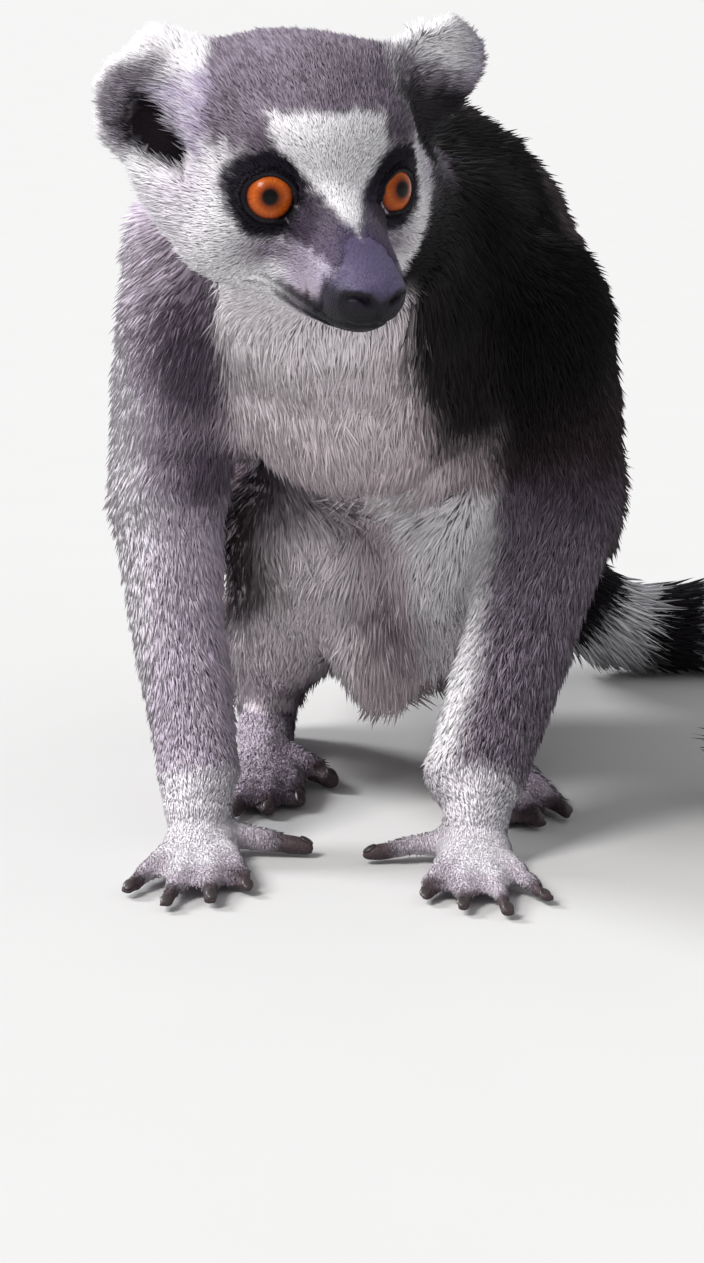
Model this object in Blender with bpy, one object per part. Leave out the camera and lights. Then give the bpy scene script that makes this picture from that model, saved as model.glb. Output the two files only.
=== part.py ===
"""Ring-tailed lemur, life size: a still model that crouches on its straight arms, knees between
them, with its head turned to its left and its tail laid round its left side.

The body is modelled whole, out to the tips of the coat, and then parted by thin cuts at the places
where a person would name its parts. +Z is up, the animal faces -Y and its left side is at +X.
"""

import math

import bmesh
import bpy
from mathutils import Euler, Matrix, Vector

MM = 0.001

# Driving dimensions, in millimetres.
CUT_GAP = 0.4
FLOOR_SINK = 1.8  # how far the soles, palms and tail are pressed flat
EYE_RADIUS = 9.0
EYE_SPACING = 33.5
EYE_DEPTH, EYE_DROP = 1.5, 1.2  # the eyeball's centre, behind and below the head frame's origin
TAIL_RADIUS = 19.0
REMESH_SIZE = 2.0
BODY_TRIANGLES = 4630

# The head's frame: its origin is midway between the eyes.
HEAD_PLACE = (-7, -59, 207.5)
HEAD_YAW, HEAD_PITCH, HEAD_ROLL = 24.0, 10.0, -1.0
EAR_SIZE = (20.5, 20.5, 9)  # half length, half width, depth
EAR_ROOTS = {-1: (-27, 17, 15.5), 1: (27.5, 27, 17.5)}
EAR_TURNS = {-1: (4, 38, 0), 1: (14, 8, 22)}  # degrees that it rises, opens outwards and droops

# Where the limbs bend. Each side's points run from the trunk outwards.
SIDES = {"right": -1, "left": 1}
ARM_JOINTS = {
    "right": {"shoulder": (-42, 20, 162), "elbow": (-57, 44, 104), "wrist": (-47, 12, 25)},
    "left": {"shoulder": (50, 30, 158), "elbow": (62, 46, 102), "wrist": (38, 4, 26)},
}
ARM_GIRTHS = {
    "right": [(29, 30, 31), (19, 20, 21), (13, 13, 13)],
    "left": [(30, 30, 32), (22, 22, 22), (16, 15, 15)],
}
LEG_JOINTS = {
    "right": {"hip": (0, 184, 84), "knee": (-14, 66, 86), "ankle": (-29, 142, 26)},
    "left": {"hip": (58, 174, 84), "knee": (27, 68, 83), "ankle": (50, 130, 26)},
}

# Where the parts divide: planes as (point, direction faced), and boxes as (corner, turn).
HEAD_CUT = ((0, 54, 0), (0, -1, 0.36))  # in the head's frame
NECK_CUT = ((-3, 14, 182), (-7, -44, 14))
GROIN_CUTS = {"right": ((4, 22, 118), 4.1), "left": ((11, 22, 114), -15.2)}
GROIN_RISE = 5.0
KNEE_FACING = (0, 0.33, 0.94)

# Digits: (degrees from straight ahead, towards the animal's own thumb side; length). Their roots
# are given as (towards the midline, backwards) from the middle of the palm or the ball of the foot.
FINGERS = {
    "thumb": (80, 25),
    "index": (14, 29),
    "middle": (3, 38),
    "ring": (-7, 42),
    "little": (-20, 33),
}
KNUCKLES = {
    "thumb": (8, 7),
    "index": (9, -13),
    "middle": (3.4, -16),
    "ring": (-2.8, -16),
    "little": (-8.6, -12),
}
TOES = {
    "hallux": (34, 25),
    "second": (8, 25),
    "third": (-1, 32),
    "fourth": (-9, 36),
    "fifth": (-19, 30),
}
TOE_ROOTS = {
    "hallux": (8, 12),
    "second": (8.5, -9),
    "third": (3, -12),
    "fourth": (-3, -12),
    "fifth": (-8.5, -8),
}

# The tail lies on the floor in one open turn about this centre.
TAIL_CENTRE = (178, 138)
TAIL_TURN = (100, -124)
TAIL_BEND = (124, 90)
TAIL_CUTS = (0, 3, 7, 11, 15)

# Materials: colour and roughness. Every node that isn't named here has the grey coat.
MATERIALS = {
    "grey_coat": ((0.42, 0.38, 0.40), 0.9),
    "white_coat": ((0.80, 0.76, 0.75), 0.9),
    "ringed_coat": ((0.45, 0.43, 0.43), 0.9),
    "black_skin": ((0.04, 0.035, 0.04), 0.5),
    "amber_eye": ((0.75, 0.27, 0.04), 0.1),
}
COVERED = {
    "nose": "black_skin",
    "eye_right": "amber_eye",
    "eye_left": "amber_eye",
    "ear_right": "white_coat",
    "ear_left": "white_coat",
}


def mm(x, y, z):
    return Vector((x, y, z)) * MM


def head_matrix():
    turn = Euler(tuple(map(math.radians, (HEAD_PITCH, HEAD_ROLL, 0))), "YXZ").to_matrix().to_4x4()
    yaw = Matrix.Rotation(math.radians(HEAD_YAW), 4, "Z")
    return Matrix.Translation(mm(*HEAD_PLACE)) @ yaw @ turn


class Flesh:
    """Rounded masses gathered in one mesh, which the remesh then joins."""

    def __init__(self):
        self.points = []
        self.faces = []
        self.balls = {}

    def add(self, points, faces):
        first = len(self.points)
        self.points += points
        self.faces += [tuple(first + i for i in face) for face in faces]

    def ball(self, centre, radii, turn=(0, 0, 0), frame=None):
        """An ellipsoid, in millimetres and degrees, in the body's frame or another one."""
        fineness = 4 if max(radii) > 26 else 3 if max(radii) > 8 else 2
        if fineness not in self.balls:
            self.balls[fineness] = unit_ball(fineness)
        turned = Euler(tuple(map(math.radians, turn))).to_matrix().to_4x4()
        place = Matrix.Translation(mm(*centre)) @ turned @ Matrix.Diagonal(mm(*radii)).to_4x4()
        if frame:
            place = frame @ place
        points, faces = self.balls[fineness]
        self.add([place @ p for p in points], faces)

    def limb(self, points, radii, frame=None, steps=6):
        """Balls of changing radii along a smooth curve, close enough to make one tapered limb."""
        points = [Vector(p) for p in points]
        radii = [Vector(r) if isinstance(r, tuple) else Vector((r, r, r)) for r in radii]
        last = len(points) - 1
        for i in range(last):
            before, after = max(i - 1, 0), min(i + 2, last)
            for step in range(steps + (i == last - 1)):
                t = step / steps
                centre = curve_point(points[before], points[i], points[i + 1], points[after], t)
                size = curve_point(radii[before], radii[i], radii[i + 1], radii[after], t)
                self.ball(centre, size, frame=frame)

    def whole_object(self, name):
        data = bpy.data.meshes.new(name)
        data.from_pydata(self.points, [], self.faces)
        return object_from(data, name)


def unit_ball(fineness):
    """The points and faces of a ball of radius 1."""
    shape = bmesh.new()
    bmesh.ops.create_icosphere(shape, subdivisions=fineness, radius=1)
    points = [v.co.copy() for v in shape.verts]
    faces = [tuple(v.index for v in f.verts) for f in shape.faces]
    shape.free()
    return points, faces


def curve_point(before, start, end, after, t):
    """A point of the Catmull-Rom curve from start to end."""
    out = (end - before) / 2
    into = (after - start) / 2
    return (
        start * (2 * t**3 - 3 * t**2 + 1)
        + out * (t**3 - 2 * t**2 + t)
        + end * (3 * t**2 - 2 * t**3)
        + into * (t**3 - t**2)
    )


def add_trunk(flesh):
    spine = [(-6, 0, 178), (4, 44, 174), (12, 84, 164), (19, 126, 140), (29, 170, 108), (36, 200, 88)]
    girth = [(40, 40, 40), (52, 44, 50), (60, 52, 61), (61, 54, 64), (58, 48, 58), (38, 30, 38)]
    flesh.limb(spine, girth, steps=9)
    flesh.ball((0, 16, 152), (42, 34, 42))  # breast
    belly = [(4, 40, 136), (14, 90, 110), (26, 150, 84)]
    flesh.limb(belly, [(36, 34, 30), (42, 44, 42), (38, 40, 36)])
    flesh.ball((21, 78, 60), (13, 22, 24))  # long hair that hangs below the left knee
    flesh.ball((8, 64, 58), (17, 20, 27))  # and between the knees
    nape = [(0, 40, 178), (-6, 4, 190), (-10, -22, 199)]
    flesh.limb(nape, [(44, 42, 42), (39, 40, 38), (36, 36, 34)])
    flesh.ball((24, 26, 186), (26, 30, 28))  # withers, raised behind the turned head
    flesh.ball((-46, 28, 183), (24, 27, 21))  # right shoulder, raised on the leaning arm
    flesh.ball((-7, -8, 176), (29, 32, 34))  # throat


def add_head(flesh, frame):
    def ball(centre, radii, turn=(0, 0, 0)):
        flesh.ball(centre, radii, turn, frame)

    ball((0, 29, 6), (37, 39, 33))  # braincase
    ball((0, 9, 13), (28, 20, 17))  # forehead
    ball((0, 26, -13), (36, 32, 22))  # jaws
    bridge = [(0, 12, -6), (0, -5, -10.5), (0, -19, -15.5), (0, -30, -19.5), (0, -34, -21)]
    girth = [(19, 16, 16), (15.5, 12, 13), (13.4, 10, 11.2), (12.6, 8, 10.4), (11.8, 7.5, 9.8)]
    flesh.limb(bridge, girth, frame)
    jaw = [(0, 16, -24), (0, -4, -25.4), (0, -19, -27.4), (0, -27.5, -28.6)]
    flesh.limb(jaw, [(20, 14, 12), (16.5, 11, 10.5), (13.2, 8, 7.6), (10, 6.4, 6.2)], frame)
    for side in (-1, 1):
        ball((side * 17, 6, 1), (12, 10.5, 12.5))  # rim of the eye socket
        ball((side * 22, 19, -12), (16, 22, 20))  # cheek
        ball((side * 29.5, 27, -4), (14, 18, 17))  # side of the face, below the ear
        ball((side * 17, 29, 20), (20, 24, 17))  # crown, broad and flat
    ball((-34, 30, 31), (11, 9, 10))  # tuft over the root of the right ear


def add_ear(flesh, frame, side):
    """A cupped ear."""
    place = frame @ ear_matrix(side)
    length, width, depth = EAR_SIZE
    bowl_points, faces = unit_ball(4)
    points = []
    for p in bowl_points:
        rim = min(1.0, p.x**2 + p.z**2)
        y = p.y * depth
        if p.y < 0:  # the front is pressed in, so that it becomes a cup
            y = (4.0 - 7.0 * rim) * (1 - rim**6)
        points.append(place @ mm(side * (length - 5 + p.x * length), y, p.z * width))
    if side < 0:
        faces = [face[::-1] for face in faces]
    flesh.add(points, faces)
    flesh.limb([(0, 0, 0), (side * 10, 3, 0)], [(10, 9, 13), (8, 6, 14)], place, steps=3)


def ear_matrix(side):
    """Where an ear stands on the head. Its own X axis runs along it, away from the middle."""
    spread, swivel, droop = EAR_TURNS[side]
    root = Matrix.Translation(mm(*EAR_ROOTS[side]))
    swing = Matrix.Rotation(math.radians(side * swivel), 4, "Z")
    rise = Matrix.Rotation(math.radians(-side * spread), 4, "Y")
    return root @ swing @ rise @ Matrix.Rotation(math.radians(droop), 4, "X")


def add_arm(flesh, name, side):
    shoulder, elbow, wrist = (Vector(ARM_JOINTS[name][k]) for k in ("shoulder", "elbow", "wrist"))
    thick = ARM_GIRTHS[name]
    flesh.limb([shoulder, elbow, wrist], thick, steps=9)
    flesh.ball(shoulder.lerp(elbow, 0.35) + Vector((0, 8, 2)), (24, 28, 30), (15, 0, 0))
    add_hand(flesh, wrist, side)


def digit(flesh, root, angle, length, radius, side):
    """One finger or toe: out from the palm in a low arch, and flat on the floor at its tip."""
    turn = math.radians(angle) * side
    ahead = Vector((math.sin(turn), -math.cos(turn), 0))
    floor = radius - FLOOR_SINK
    middle = root + ahead * length * 0.5
    middle.z = floor + 1.8
    tip = root + ahead * length
    tip.z = floor
    flesh.limb([root, middle, tip], [radius * 1.08, radius, radius * 0.9])


def add_hand(flesh, wrist, side):
    """The palm lies ahead of the wrist, with the thumb towards the midline."""
    inward = -side
    palm = Vector((wrist.x - side, wrist.y - 16, 7.2 - FLOOR_SINK))
    flesh.limb([wrist, wrist + Vector((0, -9, -11)), palm + Vector((0, 2, 1))], [11.5, 10.5, 8])
    flesh.ball(palm + Vector((0, -4, 0)), (12.5, 15, 7.2))
    for name, (angle, length) in FINGERS.items():
        across, along = KNUCKLES[name]
        root = palm + Vector((inward * across, along, 0))
        root.z = 5.6
        digit(flesh, root, angle, length, 4.6 if name == "thumb" else 4.2, inward)


def add_leg(flesh, name, side):
    hip, knee, ankle = (Vector(LEG_JOINTS[name][k]) for k in ("hip", "knee", "ankle"))
    flesh.limb([hip, hip.lerp(knee, 0.55), knee], [(38, 42, 44), (37, 38, 38), (27, 26, 28)], steps=8)
    flesh.limb([knee, knee.lerp(ankle, 0.5) + Vector((0, 0, -4)), ankle], [25, 22, 13], steps=8)
    add_foot(flesh, ankle, side)


def add_foot(flesh, ankle, side):
    """The sole runs from the heel, behind the ankle, to the toes. The hallux is towards the midline."""
    inward = -side
    heel = Vector((ankle.x, ankle.y + 6, 9.2 - FLOOR_SINK))
    ball = Vector((ankle.x, ankle.y - 54, 6.8 - FLOOR_SINK))
    flesh.limb([ankle, ankle.lerp(heel, 0.6), heel], [12.5, 11, 9.2], steps=4)
    flesh.limb([heel, heel.lerp(ball, 0.5) + Vector((0, 0, 3)), ball], [9.2, 9.6, 6.8], steps=8)
    flesh.ball(ball, (12, 14, 6.8))
    for name, (angle, length) in TOES.items():
        across, along = TOE_ROOTS[name]
        root = ball + Vector((inward * across, along, 0))
        root.z = 5.8
        digit(flesh, root, angle, length, 5.2 if name == "hallux" else 4.2, inward)


def tail_line():
    """Points along the tail: from the rump down to the floor, then round the animal's left side."""
    floor = TAIL_RADIUS - FLOOR_SINK
    points = [Vector((44, 208, 80)), Vector((68, 238, 46)), Vector((100, 253, floor + 3))]
    bends = 17
    for i in range(bends):
        done = i / (bends - 1)
        angle = math.radians(TAIL_TURN[0] + (TAIL_TURN[1] - TAIL_TURN[0]) * done)
        radius = TAIL_BEND[0] + (TAIL_BEND[1] - TAIL_BEND[0]) * done
        across = Vector((math.cos(angle), math.sin(angle), 0)) * radius
        points.append(Vector((*TAIL_CENTRE, floor)) + across)
    return points


def add_tail(flesh):
    line = tail_line()
    radii = [TAIL_RADIUS] * len(line)
    radii[0] = TAIL_RADIUS * 1.2
    radii[-1] = TAIL_RADIUS * 0.7
    flesh.limb(line, radii, steps=7)


def object_from(mesh_data, name):
    made = bpy.data.objects.new(name, mesh_data)
    bpy.context.scene.collection.objects.link(made)
    return made


def evaluated(obj):
    """The object's mesh as its modifiers leave it."""
    graph = bpy.context.evaluated_depsgraph_get()
    return bpy.data.meshes.new_from_object(obj.evaluated_get(graph))


def settle(obj):
    """Makes the modifiers' result the object's own mesh."""
    obj.data = evaluated(obj)
    obj.modifiers.clear()


def modelled_whole():
    """The whole animal as one smooth closed mesh, pressed flat where it stands."""
    flesh = Flesh()
    frame = head_matrix()
    add_trunk(flesh)
    add_head(flesh, frame)
    for name, side in SIDES.items():
        add_ear(flesh, frame, side)
        add_arm(flesh, name, side)
        add_leg(flesh, name, side)
    add_tail(flesh)
    whole = flesh.whole_object("whole")
    remesh = whole.modifiers.new("join", "REMESH")
    remesh.mode = "VOXEL"
    remesh.voxel_size = REMESH_SIZE * MM
    settle(whole)
    smooth_body(whole)
    thin_body(whole)
    subtract(whole, box("floor_cutter", (80, 60, -50), (700, 700, 100)))
    for vertex in whole.data.vertices:
        if vertex.co.z < 0.1 * MM:
            vertex.co.z = 0
    return whole


def weigh(obj, name, weight_at):
    """A vertex group whose weights come from a function of the place, in millimetres."""
    group = obj.vertex_groups.new(name=name)
    head = head_matrix().inverted()
    for vertex in obj.data.vertices:
        weight = weight_at(vertex.co / MM, head @ vertex.co / MM)
        group.add([vertex.index], weight, "REPLACE")
    return name


def smooth_body(whole):
    """Blends the masses into each other, but leaves the fingers, toes and ears as they are."""

    def weight_at(place, in_head):
        if abs(in_head.x) > 36 and in_head.z > -7 and in_head.y < 60:
            return 0.25  # ears
        if in_head.y < 12:
            return 0.4  # face
        return min(1.0, max(0.0, (place.z - 12) / 14))

    smooth = whole.modifiers.new("blend", "SMOOTH")
    smooth.factor = 0.5
    smooth.iterations = 22
    smooth.vertex_group = weigh(whole, "blend", weight_at)
    settle(whole)


def thin_body(whole):
    """Fewer triangles, most of them left where the shape is fine."""

    def weight_at(place, in_head):
        fine = in_head.y < 62 and in_head.z > -34
        return 0.93 if fine or place.z < 22 and place.x < 90 else 1.0

    thin = whole.modifiers.new("thin", "DECIMATE")
    thin.ratio = BODY_TRIANGLES / (2 * len(whole.data.polygons))
    thin.vertex_group = weigh(whole, "thin", weight_at)
    settle(whole)


def box(name, centre, size, matrix=None, turn=(0, 0, 0)):
    """A box, in millimetres and degrees, set out in the frame of a matrix."""
    data = bpy.data.meshes.new(name)
    shape = bmesh.new()
    bmesh.ops.create_cube(shape, size=1)
    shape.to_mesh(data)
    shape.free()
    turned = Euler(tuple(map(math.radians, turn))).to_matrix().to_4x4()
    place = Matrix.Translation(mm(*centre)) @ turned @ Matrix.Diagonal(mm(*size)).to_4x4()
    data.transform(matrix @ place if matrix else place)
    return object_from(data, name)


def shell(name, corner, size, matrix):
    """A box-shaped cut, as thick as the gap. It runs from a corner to the opposite corner."""
    centre = [c + v / 2 for c, v in zip(corner, size)]
    outer = box(name, centre, [abs(v) + CUT_GAP for v in size], matrix)
    inner = box(name + "_inside", centre, [abs(v) - CUT_GAP for v in size], matrix)
    subtract(outer, inner)
    return outer


def plane(name, point, facing, width, depth):
    """A flat cut at a point, square to a direction."""
    turn = Vector(facing).to_track_quat("Z", "Y").to_matrix().to_4x4()
    place = Matrix.Translation(mm(*point)) @ turn
    return box(name, (0, 0, 0), (width, depth, CUT_GAP), place)


def subtract(obj, cutter):
    cutter.hide_render = True
    cutter.display_type = "WIRE"
    cut = obj.modifiers.new(cutter.name, "BOOLEAN")
    cut.operation = "DIFFERENCE"
    cut.solver = "EXACT"
    cut.object = cutter
    settle(obj)
    bpy.data.objects.remove(cutter)


def part_off(rest, name, cutter, inside):
    """Cuts a part free. It is the piece nearest to a point inside it; the biggest other piece stays."""
    subtract(rest, cutter)
    pieces = loose_parts(rest)
    inside = mm(*inside)
    part = min(pieces, key=lambda piece: middle_distance(piece, inside))
    pieces.remove(part)
    rest = max(pieces, key=volume)
    pieces.remove(rest)
    for crumb in pieces:
        bpy.data.objects.remove(crumb)
    part.name = name
    part.data.name = name
    return rest, part


def middle_distance(piece, point):
    middle = sum((v.co for v in piece.data.vertices), Vector()) / len(piece.data.vertices)
    return (middle - point).length


def limb_frame(start, end):
    """A frame at start: Z runs to end, X points to the animal's left and Y forwards."""
    along = (Vector(end) - Vector(start)).normalized()
    front = along.cross(Vector((1, 0, 0))).normalized()
    turn = Matrix((front.cross(along), front, along)).transposed().to_4x4()
    return Matrix.Translation(mm(*start)) @ turn


def cut_arm(rest, name, side):
    joints = {k: Vector(v) for k, v in ARM_JOINTS[name].items()}
    shoulder, elbow, wrist = joints["shoulder"], joints["elbow"], joints["wrist"]
    cutter = plane("wrist_cut", wrist, elbow - wrist, 46, 46)
    rest, hand = part_off(rest, "hand_" + name, cutter, (wrist.x, wrist.y - 25, 6))
    length = (wrist - elbow).length
    corner, size = (-side * 21, -24, -2), (side * 54, 56, length + 8)
    cutter = shell("elbow_cut", corner, size, limb_frame(elbow, wrist))
    rest, forearm = part_off(rest, "forearm_" + name, cutter, elbow.lerp(wrist, 0.5))
    corner, size = (shoulder.x - side * 6, -40, 92), (side * 90, 112, 130)
    cutter = shell("shoulder_cut", corner, size, Matrix())
    rest, upper_arm = part_off(rest, "upper_arm_" + name, cutter, shoulder.lerp(elbow, 0.4))
    return rest, [hand, forearm, upper_arm]


def cut_leg(rest, name, side):
    joints = {k: Vector(v) for k, v in LEG_JOINTS[name].items()}
    hip, knee, ankle = joints["hip"], joints["knee"], joints["ankle"]
    corner, turn = GROIN_CUTS[name]
    spin = Matrix.Rotation(math.radians(turn), 4, "Z") @ Matrix.Rotation(math.radians(GROIN_RISE), 4, "X")
    frame = Matrix.Translation(mm(*corner)) @ spin
    cutter = shell("hip_cut", (0, 0, 0), (side * 92, 200, -170), frame)
    rest, leg = part_off(rest, "leg_" + name, cutter, knee.lerp(hip, 0.4))
    cutter = plane("ankle_cut", (ankle.x, 90, 20), (0, 0, 1), 200, 300)
    leg, foot = part_off(leg, "foot_" + name, cutter, (ankle.x, ankle.y - 60, 6))
    cutter = plane("knee_cut", knee + Vector((0, 0, -16)), KNEE_FACING, 300, 400)
    thigh, shank = part_off(leg, "shank_" + name, cutter, knee.lerp(ankle, 0.6))
    thigh.name = "thigh_" + name
    thigh.data.name = thigh.name
    return rest, [thigh, shank, foot]


def cut_tail(rest):
    line = tail_line()
    parts = []
    for number, step in reversed(list(enumerate(TAIL_CUTS, 1))):
        size = 90 if number == 1 else 60
        along = line[step + 1] - line[step]
        cutter = plane("tail_cut", line[step] + along * 0.4, along, size, size)
        after = TAIL_CUTS[number] if number < len(TAIL_CUTS) else len(line) - 1
        rest, part = part_off(rest, f"tail_{number}", cutter, line[(step + 1 + after) // 2])
        parts.append(part)
    return rest, parts


def cut_head(rest):
    frame = head_matrix()
    rest, neck = part_off(rest, "neck", plane("neck_cut", *NECK_CUT, 240, 240), HEAD_PLACE)
    cutter = plane("head_cut", *in_frame(frame, *HEAD_CUT), 240, 240)
    neck, head = part_off(neck, "head", cutter, HEAD_PLACE)
    rest.name = "trunk"
    neck.name = "neck"
    parts = [rest, neck]
    cutter = shell("nose_cut", (-16, -62, -27.5), (32, 27, 17.5), frame)
    head, nose = part_off(head, "nose", cutter, frame @ mm(0, -36, -20) / MM)
    parts.append(nose)
    for name, side in SIDES.items():
        ear_frame = frame @ ear_matrix(side)
        cutter = shell("ear_cut", (side * 17, -16, -23), (side * 60, 32, 46), ear_frame)
        head, ear = part_off(head, "ear_" + name, cutter, ear_frame @ mm(side * 25, 0, 0) / MM)
        parts.append(ear)
    head.name = "head"
    return parts + [head]


def in_frame(frame, point, facing):
    return frame @ mm(*point) / MM, frame.to_3x3() @ Vector(facing)


def eye_centre(side):
    return head_matrix() @ mm(side * EYE_SPACING / 2, EYE_DEPTH, -EYE_DROP)


def set_eyes(whole):
    """Cuts each socket, open at the front, and returns the eyeballs that lie in them."""
    eyes = []
    for name, side in SIDES.items():
        socket = ball_object("socket", eye_centre(side), EYE_RADIUS + CUT_GAP)
        subtract(whole, socket)
        eyes.append(ball_object("eye_" + name, eye_centre(side), EYE_RADIUS))
    return eyes


def ball_object(name, centre, radius):
    data = bpy.data.meshes.new(name)
    shape = bmesh.new()
    place = Matrix.Translation(centre)
    bmesh.ops.create_icosphere(shape, subdivisions=3, radius=radius * MM, matrix=place)
    shape.to_mesh(data)
    shape.free()
    return object_from(data, name)


def loose_parts(whole):
    """Every separate closed piece of a mesh as an object of its own."""
    mesh = bmesh.new()
    mesh.from_mesh(whole.data)
    bmesh.ops.triangulate(mesh, faces=mesh.faces)
    unseen = set(mesh.verts)
    parts = []
    while unseen:
        found = {unseen.pop()}
        edge = list(found)
        while edge:
            vertex = edge.pop()
            for link in vertex.link_edges:
                other = link.other_vert(vertex)
                if other in unseen:
                    unseen.remove(other)
                    found.add(other)
                    edge.append(other)
        parts.append(part_of(found))
    mesh.free()
    bpy.data.objects.remove(whole)
    return parts


def part_of(vertices):
    number = {v: i for i, v in enumerate(vertices)}
    faces = {f for v in vertices for f in v.link_faces}
    data = bpy.data.meshes.new("part")
    data.from_pydata([v.co for v in number], [], [[number[v] for v in f.verts] for f in faces])
    return object_from(data, "part")


def volume(obj):
    shape = bmesh.new()
    shape.from_mesh(obj.data)
    size = shape.calc_volume(signed=False)
    shape.free()
    return size


def finish(parts):
    """Names the meshes, gives each part its material and stands the animal over the origin."""
    materials = {name: principled(name, *look) for name, look in MATERIALS.items()}
    for part in parts:
        part.data.name = part.name
        kind = "ringed_coat" if part.name.startswith("tail") else COVERED.get(part.name, "grey_coat")
        part.data.materials.clear()
        part.data.materials.append(materials[kind])
    points = [v.co for part in parts for v in part.data.vertices]
    low, high = ([pick(p[i] for p in points) for i in range(3)] for pick in (min, max))
    shift = Vector((-(low[0] + high[0]) / 2, -(low[1] + high[1]) / 2, -low[2]))
    for part in parts:
        part.data.transform(Matrix.Translation(shift))


def principled(name, colour, roughness):
    material = bpy.data.materials.new(name)
    material.use_nodes = True
    shader = material.node_tree.nodes["Principled BSDF"]
    shader.inputs["Base Color"].default_value = (*colour, 1)
    shader.inputs["Roughness"].default_value = roughness
    return material


def main():
    for old in list(bpy.data.objects):
        bpy.data.objects.remove(old)
    rest = modelled_whole()
    parts = set_eyes(rest)
    for name, side in SIDES.items():
        rest, arm = cut_arm(rest, name, side)
        rest, leg = cut_leg(rest, name, side)
        parts += arm + leg
    rest, tail = cut_tail(rest)
    parts += tail + cut_head(rest)
    finish(parts)


main()
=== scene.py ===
import math
from contextlib import contextmanager

import bmesh
import bpy
import numpy as np
from mathutils import Euler, Matrix, Vector
from mathutils.bvhtree import BVHTree


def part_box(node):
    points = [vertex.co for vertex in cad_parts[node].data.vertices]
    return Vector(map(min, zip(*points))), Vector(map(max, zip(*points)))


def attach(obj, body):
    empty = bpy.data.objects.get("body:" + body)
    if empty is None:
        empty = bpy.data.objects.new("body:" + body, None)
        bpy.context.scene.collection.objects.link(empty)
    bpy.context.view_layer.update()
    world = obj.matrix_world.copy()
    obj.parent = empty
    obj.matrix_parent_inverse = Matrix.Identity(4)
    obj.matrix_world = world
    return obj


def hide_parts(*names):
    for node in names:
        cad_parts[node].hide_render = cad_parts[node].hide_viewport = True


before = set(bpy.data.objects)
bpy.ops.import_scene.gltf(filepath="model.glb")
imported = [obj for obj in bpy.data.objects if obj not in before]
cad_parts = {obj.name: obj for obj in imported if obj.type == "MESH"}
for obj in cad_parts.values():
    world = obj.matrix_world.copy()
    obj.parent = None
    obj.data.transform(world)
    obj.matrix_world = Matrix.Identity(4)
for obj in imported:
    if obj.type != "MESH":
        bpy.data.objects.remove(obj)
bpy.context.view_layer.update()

# Ring-tailed lemur, life size. One closed skin lies inside the modelled body by the depth of the
# coat, and the coat is laid over it in tufts. Lengths are in millimetres unless a note says so.

mm = 0.001
far = 1e9  # a radius that leaves an axis out

pose = {  # the joints of the pose in the animal's own frame: +X is its left, -Y ahead, +Z up
    "head": (-7, -59, 207.5),
    "headTurn": (10, -1, 24),  # degrees: pitch, roll, yaw
    "eye": (16.75, 1.5, -1.2),  # in the head's frame, whose origin is midway between the eyes
    "eyeRadius": 9.0,
    "earRoot": {-1: (-27, 17, 15.5), 1: (27.5, 27, 17.5)},
    "earTurns": {-1: (4, 38, 0), 1: (14, 8, 22)},  # degrees that it rises, opens outwards and droops
    "earMiddle": 15.5,
    "shoulder": {-1: (-42, 20, 162), 1: (50, 30, 158)},
    "elbow": {-1: (-57, 44, 104), 1: (62, 46, 102)},
    "wrist": {-1: (-47, 12, 25), 1: (38, 4, 26)},
    "hip": {-1: (0, 184, 84), 1: (58, 174, 84)},
    "knee": {-1: (-14, 66, 86), 1: (27, 68, 83)},
    "ankle": {-1: (-29, 142, 26), 1: (50, 130, 26)},
    "spine": [
        (-10, -22, 199), (-6, 0, 184), (4, 44, 174), (12, 84, 164), (19, 126, 140), (29, 170, 108),
        (36, 200, 88),
    ],
    "tailStart": [(44, 208, 80), (68, 238, 46), (100, 253, 20)],
    "tailCentre": (178, 138),
    "tailTurn": (100, -124),  # degrees
    "tailBend": (124, 90),
    "tailHeight": 17.2,
}
sideNames = {-1: "right", 1: "left"}
digits = {  # degrees from straight ahead, length, and the root's place from the middle, inwards and back
    "hand": [(80, 25, 8, 7), (14, 29, 9, -13), (3, 38, 3.4, -16), (-7, 42, -2.8, -16), (-20, 33, -8.6, -12)],
    "foot": [(34, 25, 8, 12), (8, 25, 8.5, -9), (-1, 32, 3, -12), (-9, 36, -3, -12), (-19, 30, -8.5, -8)],
}
palette = {  # linear colours of the coat and the bare skin
    "white": (0.96, 0.94, 0.97),
    "cream": (0.76, 0.655, 0.695),
    "paleGrey": (0.62, 0.535, 0.645),
    "grey": (0.29, 0.246, 0.298),
    "crownGrey": (0.215, 0.180, 0.228),
    "darkGrey": (0.10, 0.076, 0.106),
    "backBrown": (0.095, 0.070, 0.073),
    # the left arm's brown fur darkened by painted shade
    "shadedArmBrown": (0.042, 0.028, 0.031),
    "blackBrown": (0.006, 0.005, 0.006),
    "patchBlack": (0.014, 0.010, 0.018),
    "patchGrey": (0.105, 0.082, 0.125),
    "paleCornerGlint": (0.42, 0.36, 0.42),
    "slate": (0.080, 0.066, 0.125),
    "lipBlack": (0.008, 0.007, 0.010),
    "muzzleGrey": (0.42, 0.36, 0.50),
    "cheekGrey": (0.21, 0.165, 0.235),
    "palm": (0.055, 0.038, 0.042),
    "finger": (0.42, 0.35, 0.42),
    "nail": (0.030, 0.022, 0.022),
    "earSkin": (0.008, 0.006, 0.008),
    "ringBlack": (0.016, 0.013, 0.016),
}

# The animal's frame, the head's frame and the shared frame of the model.
def turned(pitch, roll, yaw):
    turn = Euler((math.radians(pitch), math.radians(roll), 0), "YXZ").to_matrix()
    return Matrix.Rotation(math.radians(yaw), 3, "Z") @ turn

headAxes = np.array(turned(*pose["headTurn"]))  # its columns are the head's axes
headPlace = np.array(pose["head"], float)
eyeLow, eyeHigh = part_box("eye_right")
eyeX, eyeY, eyeZ = pose["eye"]
origin = np.array((eyeLow + eyeHigh) / 2) / mm - headPlace - headAxes @ np.array((-eyeX, eyeY, eyeZ))

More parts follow.
